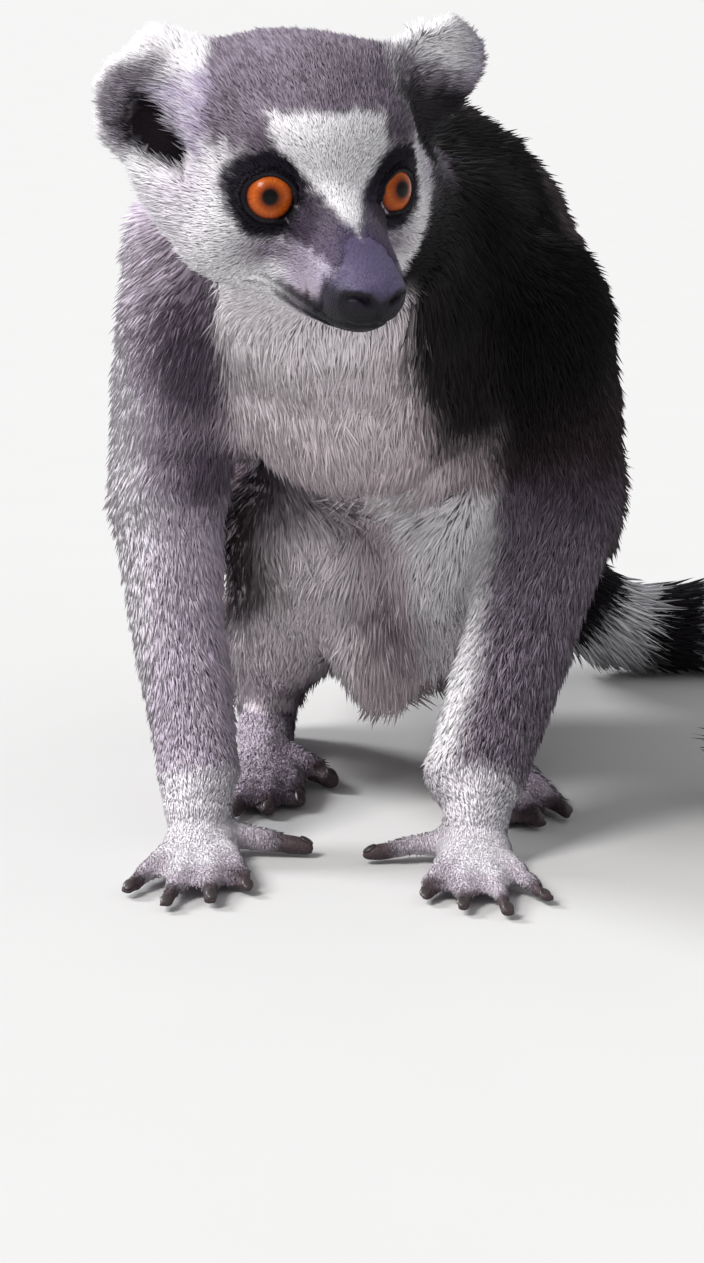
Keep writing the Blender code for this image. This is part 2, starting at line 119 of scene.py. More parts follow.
def toBody(points):
    return points / mm - origin

def toHead(points):
    return (toBody(points) - headPlace) @ headAxes

def fromBody(points):
    return (np.asarray(points, float) + origin) * mm

def fromHead(points):
    return fromBody(np.asarray(points, float) @ headAxes.T + headPlace)

def earMatrix(side):  # an ear's own frame inside the head's; its X axis runs out along the ear
    rise, swivel, droop = pose["earTurns"][side]
    swing = Matrix.Rotation(math.radians(side * swivel), 4, "Z")
    lift = Matrix.Rotation(math.radians(-side * rise), 4, "Y")
    roll = Matrix.Rotation(math.radians(droop), 4, "X")
    return np.array(Matrix.Translation(pose["earRoot"][side]) @ swing @ lift @ roll)

# Small tools on arrays.
def ramp(value, low, high):  # 0 below low, 1 above high, smooth between them
    t = np.clip((value - low) / (high - low), 0, 1)
    return t * t * (3 - 2 * t)

def bell(value, width):  # 1 at zero, falling off on both sides
    return np.exp(-((value / width) ** 2))

def blob(points, centre, radii):  # the same round a place
    return np.exp(-(((points - np.array(centre)) / radii) ** 2).sum(axis=1))

def unit(vectors):
    return vectors / np.maximum(np.linalg.norm(vectors, axis=-1, keepdims=True), 1e-9)

def ripple(points, size, seed):  # a smooth random field between about -1 and 1
    random = np.random.default_rng(seed)
    total = np.zeros(len(points))
    for _ in range(7):
        direction = unit(random.normal(size=3)) * 2 * np.pi / (size * random.uniform(0.7, 1.5))
        total += np.sin(points @ direction + random.uniform(0, 2 * np.pi))
    return total / 3.2

def tint(name):
    return np.array(palette[name])

def over(colours, name, mask):
    return colours + (tint(name) - colours) * np.asarray(mask)[:, None]

def painter(colours):  # a copy of the colours, and a way to paint over it through a mask
    colours = colours.copy()

    def paint(name, mask):
        colours[:] = over(colours, name, mask)

    return colours, paint

def alongLine(points, line):  # distance to a line of points, how far along it, and its direction there
    line = np.asarray(line, float)
    best = np.full(len(points), far)
    done = np.zeros(len(points))
    way = np.zeros((len(points), 3))
    before = 0.0
    for start, end in zip(line[:-1], line[1:]):
        span = end - start
        length = np.linalg.norm(span)
        t = np.clip((points - start) @ span / length**2, 0, 1)
        gap = np.linalg.norm(points - start - t[:, None] * span, axis=1)
        near = gap < best
        best[near] = gap[near]
        done[near] = before + t[near] * length
        way[near] = span / length
        before += length
    return best, done, way

def inside(across, up, corners):  # how far inside a convex outline each flat point lies
    corners = np.asarray(corners, float)
    gap = np.full(len(across), far)
    for start, end in zip(corners, np.roll(corners, -1, axis=0)):
        way = (end - start) / np.linalg.norm(end - start)
        gap = np.minimum(gap, way[0] * (up - start[1]) - way[1] * (across - start[0]))
    return gap

def digitLines(kind, side):  # the root and the tip of each finger or toe
    x, y, _ = pose["wrist"][side] if kind == "hand" else pose["ankle"][side]
    middle = np.array((x - side, y - 16, 5.7)) if kind == "hand" else np.array((x, y - 54, 5.8))
    lines = []
    for angle, length, across, back in digits[kind]:
        root = middle + (-side * across, back, 0)
        turn = math.radians(angle) * -side
        tip = root + np.array((math.sin(turn), -math.cos(turn), 0)) * length
        tip[2] = 2.4
        lines.append((root, tip))
    return lines

def tailLine():
    x, y = pose["tailCentre"]
    points = [np.array(p, float) for p in pose["tailStart"]]
    for done in np.linspace(0, 1, 40):
        angle, radius = (low + (high - low) * done for low, high in (pose["tailTurn"], pose["tailBend"]))
        across, back = math.cos(math.radians(angle)) * radius, math.sin(math.radians(angle)) * radius
        points.append(np.array((x + across, y + back, pose["tailHeight"])))
    return np.array(points)

def spread(values, edges, rounds, weight=1.0):  # averages each value with its neighbours'
    count = len(values)
    first, second = edges[:, 0], edges[:, 1]
    links = np.maximum(np.bincount(first, minlength=count) + np.bincount(second, minlength=count), 1)
    flat = values.reshape(count, -1).astype(float)
    weight = np.asarray(weight, float).reshape(-1, 1) if np.ndim(weight) else weight
    for _ in range(rounds):
        mean = np.empty_like(flat)
        for axis in range(flat.shape[1]):
            total = np.bincount(first, flat[second, axis], count)
            total += np.bincount(second, flat[first, axis], count)
            mean[:, axis] = total / links
        flat = flat + (mean - flat) * 0.5 * weight
    return flat.reshape(values.shape)

# Small tools on meshes.
def listed(items, field, size, kind):  # one field of all of a mesh's items, as rows
    flat = np.empty(len(items) * size, kind)
    items.foreach_get(field, flat)
    return flat.reshape(-1, size)

def pointsOf(mesh):
    return listed(mesh.vertices, "co", 3, np.float32).astype(float)

def normalsOf(mesh):
    return listed(mesh.vertices, "normal", 3, np.float32).astype(float)

def edgesOf(mesh):
    return listed(mesh.edges, "vertices", 2, np.int32)

def movePoints(mesh, points):
    mesh.vertices.foreach_set("co", np.ascontiguousarray(points, np.float32).ravel())
    mesh.update()

def meshOf(name, points, faces):
    mesh = bpy.data.meshes.new(name)
    mesh.from_pydata([tuple(p) for p in points], [], [tuple(f) for f in faces])
    mesh.update()
    return mesh

@contextmanager
def opened(mesh):  # a mesh while its faces are worked on
    shape = bmesh.new()
    shape.from_mesh(mesh)
    yield shape
    shape.to_mesh(mesh)
    shape.free()

def pieceOf(name, mesh):
    piece = bpy.data.objects.new(name, mesh)
    bpy.context.scene.collection.objects.link(piece)
    mesh.name = name
    return piece

def faceOutwards(mesh):
    with opened(mesh) as shape:
        bmesh.ops.recalc_face_normals(shape, faces=shape.faces)
    mesh.shade_smooth()

def settled(piece):  # makes the result of the modifiers the piece's own mesh
    graph = bpy.context.evaluated_depsgraph_get()
    mesh = bpy.data.meshes.new_from_object(piece.evaluated_get(graph))
    piece.modifiers.clear()
    piece.data = mesh
    return mesh

def remeshed(mesh, voxel):
    piece = pieceOf("remeshed", mesh)
    join = piece.modifiers.new("join", "REMESH")
    join.mode = "VOXEL"
    join.voxel_size = voxel * mm
    result = settled(piece)
    bpy.data.objects.remove(piece)
    return result

def store(mesh, name, kind, values, domain="POINT"):
    found = mesh.attributes.get(name) or mesh.attributes.new(name, kind, domain)
    field = {"FLOAT": "value", "FLOAT_VECTOR": "vector", "FLOAT_COLOR": "color", "FLOAT2": "vector"}[kind]
    values = np.asarray(values, np.float32)
    if kind == "FLOAT_COLOR":
        values = np.concatenate([values, np.ones((len(values), 1), np.float32)], axis=1)
    found.data.foreach_set(field, np.ascontiguousarray(values).ravel())

# The modelled parts, and the skin that is laid inside them.
def kindOf(node):  # trunk, neck, upper_arm and so on, without the side or the number
    return node.rstrip("0123456789").rstrip("_").removesuffix("_left").removesuffix("_right")

def kindsOf(owners):
    return np.array([kindOf(name) for name in owners])

fleshNodes = [name for name in sorted(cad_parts) if not name.startswith("eye_")]

def modelledParts():  # every part, its eyes too, with its doubles merged: points, normals and faces
    parts = {}
    for name in sorted(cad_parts):
        shape = bmesh.new()
        shape.from_mesh(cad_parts[name].data)
        bmesh.ops.remove_doubles(shape, verts=shape.verts, dist=1e-6)
        shape.normal_update()
        shape.verts.index_update()
        points = np.array([v.co for v in shape.verts])
        normals = np.array([v.normal for v in shape.verts])
        parts[name] = (points, normals, [[v.index for v in f.verts] for f in shape.faces])
        shape.free()
    return parts

face = {  # lines and places are in the head's frame, and on its left side where they come in pairs
    "gaze": (20, 11),  # degrees that each eye looks outwards and up
    "lidsFace": {-1: (20, 9.5), 1: (27, 7)},  # and where the opening between its lids faces
    "opening": {-1: 46, 1: 41},  # half the angle of that opening, seen from the ball's centre
    "innerCorner": 8,  # how much farther it opens towards the nose
    "upperLid": 7,  # how far the lids come down and up over the round opening
    "lowerLid": 3,
    "lid": 0.7,  # how thick the lid's edge is
    "earHollow": [(12.5, -5), (6, 9), (-4.5, 1.5), (-11, -9), (-10, -19), (4, -13)],  # across the right ear
    "noseTip": (0, -40.5, -19.5),
    "nostril": [
        (3.4, -41.3, -23.0), (5.0, -41.2, -21.4), (7.2, -40.0, -20.4), (9.2, -37.6, -20.6),
        (10.2, -35.0, -22.0),
    ],
    "lips": [
        (0, -37.2, -29.6), (6.4, -33.6, -29.8), (10.4, -25, -28.8), (13.4, -13, -27.0), (17.0, -1, -25.2),
        (20.0, 5, -23.4),
    ],
    "darkBar": [(14, -6, -6), (9, -18, -9), (7, -28, -11)],  # from the eye to the nose
    "innerBar": [(10, -9, 1), (7, -14, -4), (4.4, -22, -7.4), (4, -28, -9.6)],
}

def joined(parts, grow):
    points, faces, owners = [], [], []
    first = 0
    for name, (places, normals, partFaces) in parts.items():
        points.append(places + normals * grow * mm)
        faces += [[first + i for i in face] for face in partFaces]
        owners += [name] * len(partFaces)
        first += len(places)
    return np.concatenate(points), faces, owners

def surfaceOf(parts):  # a tree to find the nearest face with, and the part that each face belongs to
    places, faces, owners = joined(parts, 0)
    return BVHTree.FromPolygons([Vector(p) for p in places], faces), owners

def ownersOf(points, parts):  # the modelled part nearest to each point
    tree, owners = surfaceOf(parts)
    return np.array([owners[tree.find_nearest(Vector(p))[2]] for p in points])

coatDepth = {  # how deep the skin lies under the tips of the coat
    "trunk": 7.0, "neck": 6.0, "upper_arm": 5.4, "forearm": 3.4, "hand": 0.8, "thigh": 6.0, "shank": 4.0,
    "foot": 0.9, "tail": 8.5, "head": 3.0, "ear": 1.2, "nose": 0.3, "eye": 1.0,
}

def depthOver(points, kinds, edges):
    depth = np.array([coatDepth[kind] for kind in kinds])
    head, body = toHead(points), toBody(points)
    onHead = kinds == "head"
    depth[onHead] = 1.2 + 3.4 * ramp(head[onHead, 1], -4, 34)
    low = (kinds == "forearm") & (body[:, 2] < 60)
    depth[low] = 1.8 + 1.6 * ramp(body[low, 2], 26, 60)
    return spread(depth, edges, 14)

skinMakings = {
    "swell": 0.6,  # closes the thin gaps between the modelled parts
    "firstVoxel": 1.9,
    "lastVoxel": 2.45,
    "steps": 5,  # the skin sinks to its depth in this many steps
    "underDigits": 0.6,  # how deep it lies in the hands and feet
    "faceBox": (20, -40, 46),  # its faces are divided this far back, down and sideways in the head's frame,
    "handBox": (17, 74, 160),  # this high, far to the left and far back in the animal's,
    "nearEye": (17, 14, 16),  # within this reach of an eye, and again within a reach and an angle of the lids,
    "nearNose": (20, 9),  # and within these reaches of the nose's tip
}

def makeSkinMesh(parts):
    points, faces, _ = joined(parts, skinMakings["swell"])
    mesh = remeshed(meshOf("flesh", points, faces), skinMakings["firstVoxel"])
    edges = edgesOf(mesh)
    places = pointsOf(mesh)
    kinds = kindsOf(ownersOf(places, parts))
    small = np.isin(kinds, ("hand", "foot", "ear", "nose", "eye"))
    onFace = (kinds == "head") & (toHead(places)[:, 1] < 14)
    soft = spread(np.where(small, 0.12, np.where(onFace, 0.3, 1.0)), edges, 4)
    places = spread(places, edges, 12, soft)
    x, y, z = toBody(places).T
    chest = ramp(36 - np.abs(x + 4), 0, 10) * ramp(30 - y, 0, 16)
    chest = chest * ramp(z, 118, 130) * ramp(184 - z, 0, 12) * (kinds != "head")
    places = spread(places, edges, 60, np.clip(chest, 0, 1))
    movePoints(mesh, places)
    depth = depthOver(places, kinds, edges)
    calm = np.clip(depth / 6, 0.05, 1) * np.where(small, 0.3, 1.0)
    for _ in range(skinMakings["steps"]):
        places = pointsOf(mesh) - normalsOf(mesh) * (depth / skinMakings["steps"])[:, None] * mm
        movePoints(mesh, spread(places, edges, 2, calm))
    mesh = remeshed(mesh, skinMakings["lastVoxel"])
    print("skin: laid under the coat,", len(mesh.polygons), "faces")
    return mesh

def split(mesh, chosen):  # divides the faces whose middle, in the head's frame, is chosen
    with opened(mesh) as shape:
        shape.faces.ensure_lookup_table()
        keep = chosen(toHead(np.array([f.calc_center_median() for f in shape.faces])))
        edges = {e for f, yes in zip(shape.faces, keep) if yes for e in f.edges}
        bmesh.ops.subdivide_edges(shape, edges=list(edges), cuts=1, use_grid_fill=True)
        bmesh.ops.triangulate(shape, faces=[f for f in shape.faces if len(f.verts) > 4])

def keepLargestShell(mesh):  # leaves out any crumb that the remesh set free
    with opened(mesh) as shape:
        unseen = set(shape.verts)
        shells = []
        while unseen:
            edge = [unseen.pop()]
            found = set(edge)
            while edge:
                for link in edge.pop().link_edges:
                    for other in link.verts:
                        if other in unseen:
                            unseen.remove(other)
                            found.add(other)
                            edge.append(other)
            shells.append(found)
        shells.sort(key=len)
        for shell in shells[:-1]:
            bmesh.ops.delete(shape, geom=list(shell), context="VERTS")

# The shape of the face.
def eyeCentre(side):
    return np.array((side * eyeX, eyeY, eyeZ), float)

def facing(side, out, up):
    out, up = math.radians(out), math.radians(up)
    return np.array((side * math.sin(out) * math.cos(up), -math.cos(out) * math.cos(up), math.sin(up)))

def lidAngles(head, side):  # each point's reach, its angles past the lids' edge and off the gaze, its bearing
    away = head - eyeCentre(side)
    reach = np.linalg.norm(away, axis=1)
    gaze = facing(side, *face["lidsFace"][side])
    angle = np.degrees(np.arccos(np.clip(away @ gaze / np.maximum(reach, 1e-6), -1, 1)))
    inward = unit(np.array((-side * 0.80, -0.2, -0.58)))
    inward = unit(inward - gaze * (inward @ gaze))
    upward = unit(np.array((0, 0, 1.0)) - gaze * gaze[2])
    flat = unit(away - (away @ gaze)[:, None] * gaze)
    towards = flat @ inward
    opening = face["opening"][side] + face["innerCorner"] * ramp(towards, 0.76, 1.0)
    opening -= face["upperLid"] * ramp(flat @ upward, 0.25, 0.95)
    opening -= face["lowerLid"] * ramp(-(flat @ upward), 0.35, 0.8) * (1 - ramp(towards, 0.7, 0.95))
    return reach, angle - opening, angle, towards

def shapeLids(head):
    ball = pose["eyeRadius"]
    edge = ball + face["lid"]
    hidden = ball - 1.5
    for side in (-1, 1):
        reach, past, angle, _ = lidAngles(head, side)
        target = edge + 0.2 + (reach - edge - 0.2) * ramp(past, 4, 30)
        target -= 0.3 * bell(past - 11, 3.0)  # the fold behind the lid's edge
        target = np.where(past < 4, edge + 0.2 * ramp(past, 0, 4), target)
        target = hidden + (target - hidden) * ramp(past, -3.2, 0.4)
        moved = eyeCentre(side) + unit(head - eyeCentre(side)) * target[:, None]
        mask = ramp(21 - reach, 0, 5) * ramp(80 - angle, 0, 25)
        head = head + (moved - head) * mask[:, None]
    return head

def push(head, centre, radius, way):  # moves the points round a centre along a way, most at the middle
    gap = np.linalg.norm((head - np.array(centre, float)) / np.array(radius, float), axis=1)
    fall = np.clip(1 - gap**2, 0, 1) ** 2
    return head + fall[:, None] * np.array(way, float)

def acrossEar(head, side):  # each point's place across an ear as seen from in front, before it, and its reach
    place = earMatrix(side)
    out, before, up = ((head - place[:3, 3]) @ place[:3, :3]).T
    out = out * side - pose["earMiddle"]
    slant = {-1: (0.28, 0.27), 1: (0.77, 0.99)}[side]
    return out - slant[0] * before, up + slant[1] * before, before, np.hypot(out, up)

def shapeEar(head):  # the right ear's hollow runs on into the side of the head
    along, up, before, _ = acrossEar(head, -1)
    mask = ramp(inside(along, up, face["earHollow"]), -1.5, 3.0) * ramp(before + 22, 0, 6) * (before < 1.0)
    return head + ((1.0 - before) * mask)[:, None] * earMatrix(-1)[:3, 1]

def onSkin(line, side, head):  # a line of the face, mirrored to a side and brought to the skin's own points
    places = np.array(line, float) * (side, 1, 1)
    return np.array([head[np.argmin(np.linalg.norm(head - place, axis=1))] for place in places])

def shapeMuzzle(head):
    head = push(head, (0, -39.5, -17.5), (7, 6, 5), (0, -0.9, 0.5))  # the nose stands a little forward
    for side in (-1, 1):
        head = push(head, (side * 5.6, -39.5, -18.6), (4.6, 5, 3.4), (side * 0.5, -0.9, 0.6))  # its wings
        head = push(head, (side * 10.5, -34, -14.5), (5, 7, 5), (-side * 1.2, 0, -0.5))
        gap, done, _ = alongLine(head, onSkin(face["nostril"], side, head))
        deep = np.interp(done, [0, 1.6, 3.6, 6.5, 9.5], [0.6, 2.2, 2.4, 1.2, 0.2])
        wide = np.interp(done, [0, 2.2, 6, 9.5], [0.9, 1.25, 0.8, 0.5])
        inward = unit(np.array((side * 1.0, -26, -20)) - head)
        head = head + inward * (deep * bell(gap, wide))[:, None]
        head = push(head, (side * 8.5, -28, -25), (7, 9, 6), (side * 0.9, -0.5, 0))  # whisker pad
        gap, done, _ = alongLine(head, onSkin(face["lips"], side, head))
        inward = unit(np.array((0, -12, -22)) - head)
        groove = 0.85 * bell(gap, 0.85) * ramp(-done, -60, -40)
        lip = 0.30 * bell(gap - 2.0, 1.0)
        head = head + inward * ((groove - lip) * (head[:, 1] < 8))[:, None]
    middle = bell(head[:, 0], 0.7) * ramp(-head[:, 1], 34, 38) * ramp(-head[:, 2], 20, 23)
    return head + middle[:, None] * np.array((0, 0.55, 0))  # the groove under the nose

def followParts(mesh, parts):  # brings the skin of hands and feet back to just under the modelled surface
    tree, owners = surfaceOf(parts)
    places = pointsOf(mesh)
    edges = edgesOf(mesh)
    x, y, z = toBody(places).T
    pull = np.zeros(len(places))
    for i in np.flatnonzero((z < 22) & (x < 74) & (y < 165)):
        spot, normal, found, _ = tree.find_nearest(Vector(places[i]))
        if kindOf(owners[found]) in ("hand", "foot"):
            places[i] = np.array(spot - normal * skinMakings["underDigits"] * mm)
            pull[i] = 1
    pull = spread(pull, edges, 3)
    movePoints(mesh, spread(places, edges, 3, np.clip(pull * 1.2, 0, 1)))

def finishSkin(mesh, parts):
    keepLargestShell(mesh)
    nose = np.array(face["noseTip"], float)

    eyeReach, lidReach, lidAngle = skinMakings["nearEye"]

    def onFace(middle):
        back, down, across = skinMakings["faceBox"]
        return (middle[:, 1] < back) & (middle[:, 2] > down) & (np.abs(middle[:, 0]) < across)

    def onHands(middle):
        high, left, back = skinMakings["handBox"]
        x, y, z = (middle @ headAxes.T + headPlace).T
        return (z < high) & (x < left) & (y < back)

    def nearNose(middle, times):
        return np.linalg.norm(middle - nose, axis=1) < skinMakings["nearNose"][times]

    def fine(middle):
        eye = np.min([np.linalg.norm(middle - eyeCentre(side), axis=1) for side in (-1, 1)], axis=0)
        return (eye < eyeReach) | nearNose(middle, 0)

    def finest(middle):
        chosen = nearNose(middle, 1)
        for side in (-1, 1):
            reach, past, _, _ = lidAngles(middle, side)
            chosen |= (reach < lidReach) & (np.abs(past) < lidAngle)
        return chosen

    split(mesh, lambda middle: onFace(middle) | onHands(middle))
    split(mesh, fine)
    followParts(mesh, parts)
    places = pointsOf(mesh)
    movePoints(mesh, spread(places, edgesOf(mesh), 5, onFace(toHead(places)).astype(float)))
    split(mesh, finest)
    places = pointsOf(mesh)
    head = toHead(places)
    onHead = (head[:, 1] < 24) & (head[:, 2] > -42)
    head[onHead] = shapeLids(shapeMuzzle(head[onHead]))
    nearEar = (head[:, 0] < -20) & (head[:, 2] > -12) & (head[:, 1] < 50)
    places[onHead] = fromHead(head[onHead])
    places[nearEar] = fromHead(shapeEar(head[nearEar]))
    movePoints(mesh, places)
    print("skin: face shaped,", len(mesh.polygons), "faces")

# Markings, lie and length of the coat.
def faceColours(head, colours, bare):
    colours, paint = painter(colours)
    x, y, z = head.T
    ax = np.abs(x)
    folded = np.stack([ax, y, z], axis=1)
    jitter = ripple(head, 5.0, 3) * 0.9 + ripple(head, 2.2, 4) * 0.7
    # white face and cheeks under a grey crown, which comes down the temples to the eye patches
    # painted shade: the far cheek, white fur on the animal, and the back of the head beside the dark shoulder
    # fur are painted near black
    limit = np.interp(z, [-34, -26, -20, -11, -3, 8, 16], [17, 20, 24, 30, 33.5, 36, 42])
    behind = ramp(x - limit + 0.8 * jitter, 0, 5) * ramp(y, -10, -4)
    behind = np.maximum(behind, ramp(x, 20, 30) * ramp(y, 16, 26)) * ramp(14 - z, 0, 8)
    paint("blackBrown", behind)
    paint("white", ramp(46 - y, 0, 12) * ramp(30 - y, -14, 10) * (1 - behind))
    hem = np.interp(ax, [0, 12, 18, 27, 33, 40], [12, 11, 8.5, 7.5, 9.0, 12.0]) + 0.12 * (y + 4)
    paint("crownGrey", ramp(z - hem + 1.2 * jitter, -2.5, 5.5))
    paint("darkGrey", 0.5 * blob(folded, (17, 0, 14), (8, far, 4.5)) * ramp(-y, -10, 0))
    paint("paleGrey", 0.55 * ramp(ax - 27, 0, 8) * bell(z - 2, 8) * ramp(24 - y, 0, 12))
    paint("crownGrey", ramp(y, 22, 40) * ramp(z + 22, 0, 14) * 0.85)
    temple = ramp(ax - 26, 0, 12) * ramp(z + 26, 0, 8) * ramp(8 - z, 0, 14) * ramp(y, 2, 16)
    paint("paleGrey", 0.4 * temple * (1 - behind))
    # the muzzle's grey sides and pale whisker pads
    paint("muzzleGrey", ramp(-y, 4, 14) * ramp(-z, 4, 9) * 0.8)
    paint("paleGrey", np.clip(blob(folded, (11, -19, -24), (6, 9, 4.6)) * 1.2, 0, 0.9))
    # grey below the eyes, the black patches round them, and a dark bar from each to the nose
    for side in (-1, 1):
        near = head * (side, 1, 1)
        below = blob(near, (16, -5, -14.5), (9, 12, 5.0))
        paint("cheekGrey", np.clip(below * 0.95 + 0.1 * jitter * below, 0, 0.85))
        bar = np.minimum(alongLine(near, face["darkBar"])[0], alongLine(near, face["innerBar"])[0] + 0.6)
        dark = 1 - ramp(bar + 0.5 * jitter, 2.6, 5.2)
        paint("patchGrey", dark * 0.95)
        paint("patchBlack", dark * ramp(y, -20, -9) * 0.6)
        ring = ((near[:, 0] - 18.0) / 10.6) ** 2 + ((z - 0.2) / 11.8) ** 2 + 0.09 * jitter
        patch = (1 - ramp(ring, 0.72, 1.2)) * (y < 16)
        paint("patchBlack", patch)
        paint("patchGrey", blob(near, (11, 0, -5), (4.0, far, 5.0)) * patch * 0.5)
    # slate over the muzzle's top and tip, black below
    tipEdge = np.interp(-z, [6, 9, 13.6, 19, 26.5, 33], [-21, -25, -30.5, -27.4, -23.5, -22.5])
    slate = ramp(8.2 - ax - 0.1 * (y + 30) + 0.4 * jitter, 0, 3.0) * ramp(-y - 0.25 * z, 24.5, 29.5) * (z > -16)
    slate = np.maximum(ramp(tipEdge - y + 0.6 * jitter, -3.4, 3.2), slate)
    paint("slate", slate)
    paint("lipBlack", ramp(-z + 0.2 * (ax - 4) + 0.3 * jitter, 16.5, 21.5) * slate * 0.92)
    bare = np.maximum(bare, ramp(slate, 0.7, 1.0))
    lips = np.minimum(*[alongLine(head, onSkin(face["lips"], side, head))[0] for side in (-1, 1)])
    depth = np.interp(y, [-34, -24, -12, -4, 2], [6.4, 5.6, 4.2, 2.8, 1.0])
    band = (1 - ramp(lips + 0.6 * jitter, depth * 0.6, depth * 1.25)) * ramp(-y, -4, 3)
    paint("lipBlack", band * np.interp(y, [-18, -8, 2], [1.0, 0.85, 0.3]) * 0.95)
    bare = np.maximum(bare, (1 - ramp(lips, 0.8, 1.7)) * (y < 6))
    for side in (-1, 1):
        gap = alongLine(head, onSkin(face["nostril"], side, head))[0]
        paint("lipBlack", 1 - ramp(gap, 1.0, 2.2))
    # the forehead's white wedge, which ends in a point on the bridge
    rows = [-9, -7.5, -6.2, -4.8, -2.2, 1, 5.2, 10.7, 12, 17, 22]
    right = np.interp(z, rows, [1.2, 1.3, 1.5, 2.2, 4.4, 6.2, 10.1, 15.0, 17.0, 19.0, 20.0])
    left = np.interp(z, rows, [-0.6, 0.0, 0.8, 1.6, 3.6, 6.4, 8.8, 12.0, 13.4, 14.2, 15.0])
    half = np.where(x < 0, right, left) - 0.9
    wedge = ramp(half - ax + 0.35 * jitter * ramp(z, -6, 4), -0.6, 1.0) * (y < 12)
    wedge = wedge * (1 - ramp(z + 0.9 * jitter - 19.5, 0, 2.6)) * ramp(z, -8.2, -6.4)
    paint("white", wedge)
    bare = bare * (1 - wedge)
    # black lids with a pale inner corner that carries a painted wet highlight, and the chin
    for side in (-1, 1):
        reach, past, _, towards = lidAngles(head, side)
        bare = np.maximum(bare, (reach < 12.5) * (1 - ramp(past, 1.5, 4.5)))
        paint("lipBlack", (reach < 12.5) * (1 - ramp(past, 3, 8)))
        # pale skin in the inner corner with a painted highlight of its wetness
        paint("paleCornerGlint", np.clip((reach < 10.6) * ramp(towards, 0.93, 0.99) * bell(past - 0.6, 1.3) * 1.2, 0, 1))
    paint("white", ramp(-z, 32, 35) * ramp(y, -22, -15) * 0.8)
    paint("lipBlack", ramp(-z, 25, 28) * ramp(-y - 0.5 * ax, 11, 16) * 0.93)
    return colours, bare

def earColours(head, normals, colours, bare):
    colours, paint = painter(colours)
    jitter = ripple(head, 4.0, 9) + 0.7 * ripple(head, 1.8, 10)
    for side in (-1, 1):
        along, up, before, disc = acrossEar(head, side)
        onEar = (1 - ramp(disc, 24, 28)) * ramp(18 - np.abs(before), 0, 4)
        front = ramp(-normals @ earMatrix(side)[:3, 1], -0.25, 0.2)
        shown = front * onEar
        if side < 0:  # it opens ahead: white edge and top, grey lining, black hollow
            paint("white", onEar * ramp(along, -15, -11) * np.maximum(ramp(up, -12, 0), ramp(along, -6, 2)))
            lining = (1 - ramp(np.hypot(along, up) + 0.6 * jitter, 14.2, 16.2)) * ramp(along + 0.35 * up, 0, 5)
            paint("crownGrey", lining * (1 - ramp(up + 0.5 * along, 13, 20)) * shown * 0.9)
            strands = ramp(8 - along - 0.4 * up, 0, 8) * ramp(along + 17, 0, 4)
            strands = strands * (1 - ramp(up + 0.3 * along, 5, 12)) * ramp(up + 14, 0, 6) * shown
            paint("muzzleGrey", np.clip(strands * (0.75 + 0.2 * jitter), 0, 1))
            hollow = ramp(inside(along, up, face["earHollow"]) + 0.7 * jitter, -0.8, 1.8)
            hollow = hollow * front * ramp(20 - np.abs(before), 0, 3)
            paint("earSkin", hollow)
            bare = np.maximum(bare, hollow * 0.95)
        else:  # hair fans over its front; its lower and outer edges are dark
            line = up + 0.66 * along + 1.5 * jitter
            paint("white", onEar * ramp(along, -17, -11))
            paint("muzzleGrey", shown * ramp(along + 1.2 * jitter, 3, 16) * 0.75)
            paint("crownGrey", (1 - ramp(line, 2, 9)) * shown * ramp(along, -18, -10) * 0.9)
            paint("blackBrown", (1 - ramp(line, -4, 2)) * shown * ramp(along, -14, -6) * 0.92)
            paint("darkGrey", ramp(disc + 0.6 * jitter, 16, 20) * ramp(along, 8, 14) * shown * 0.8)
    return colours, bare

kneeLine = [(-12, 44, 110), (2, 42, 98), (9, 47, 83), (12, 58, 63), (4, 72, 48)]  # the right knee's inner edge

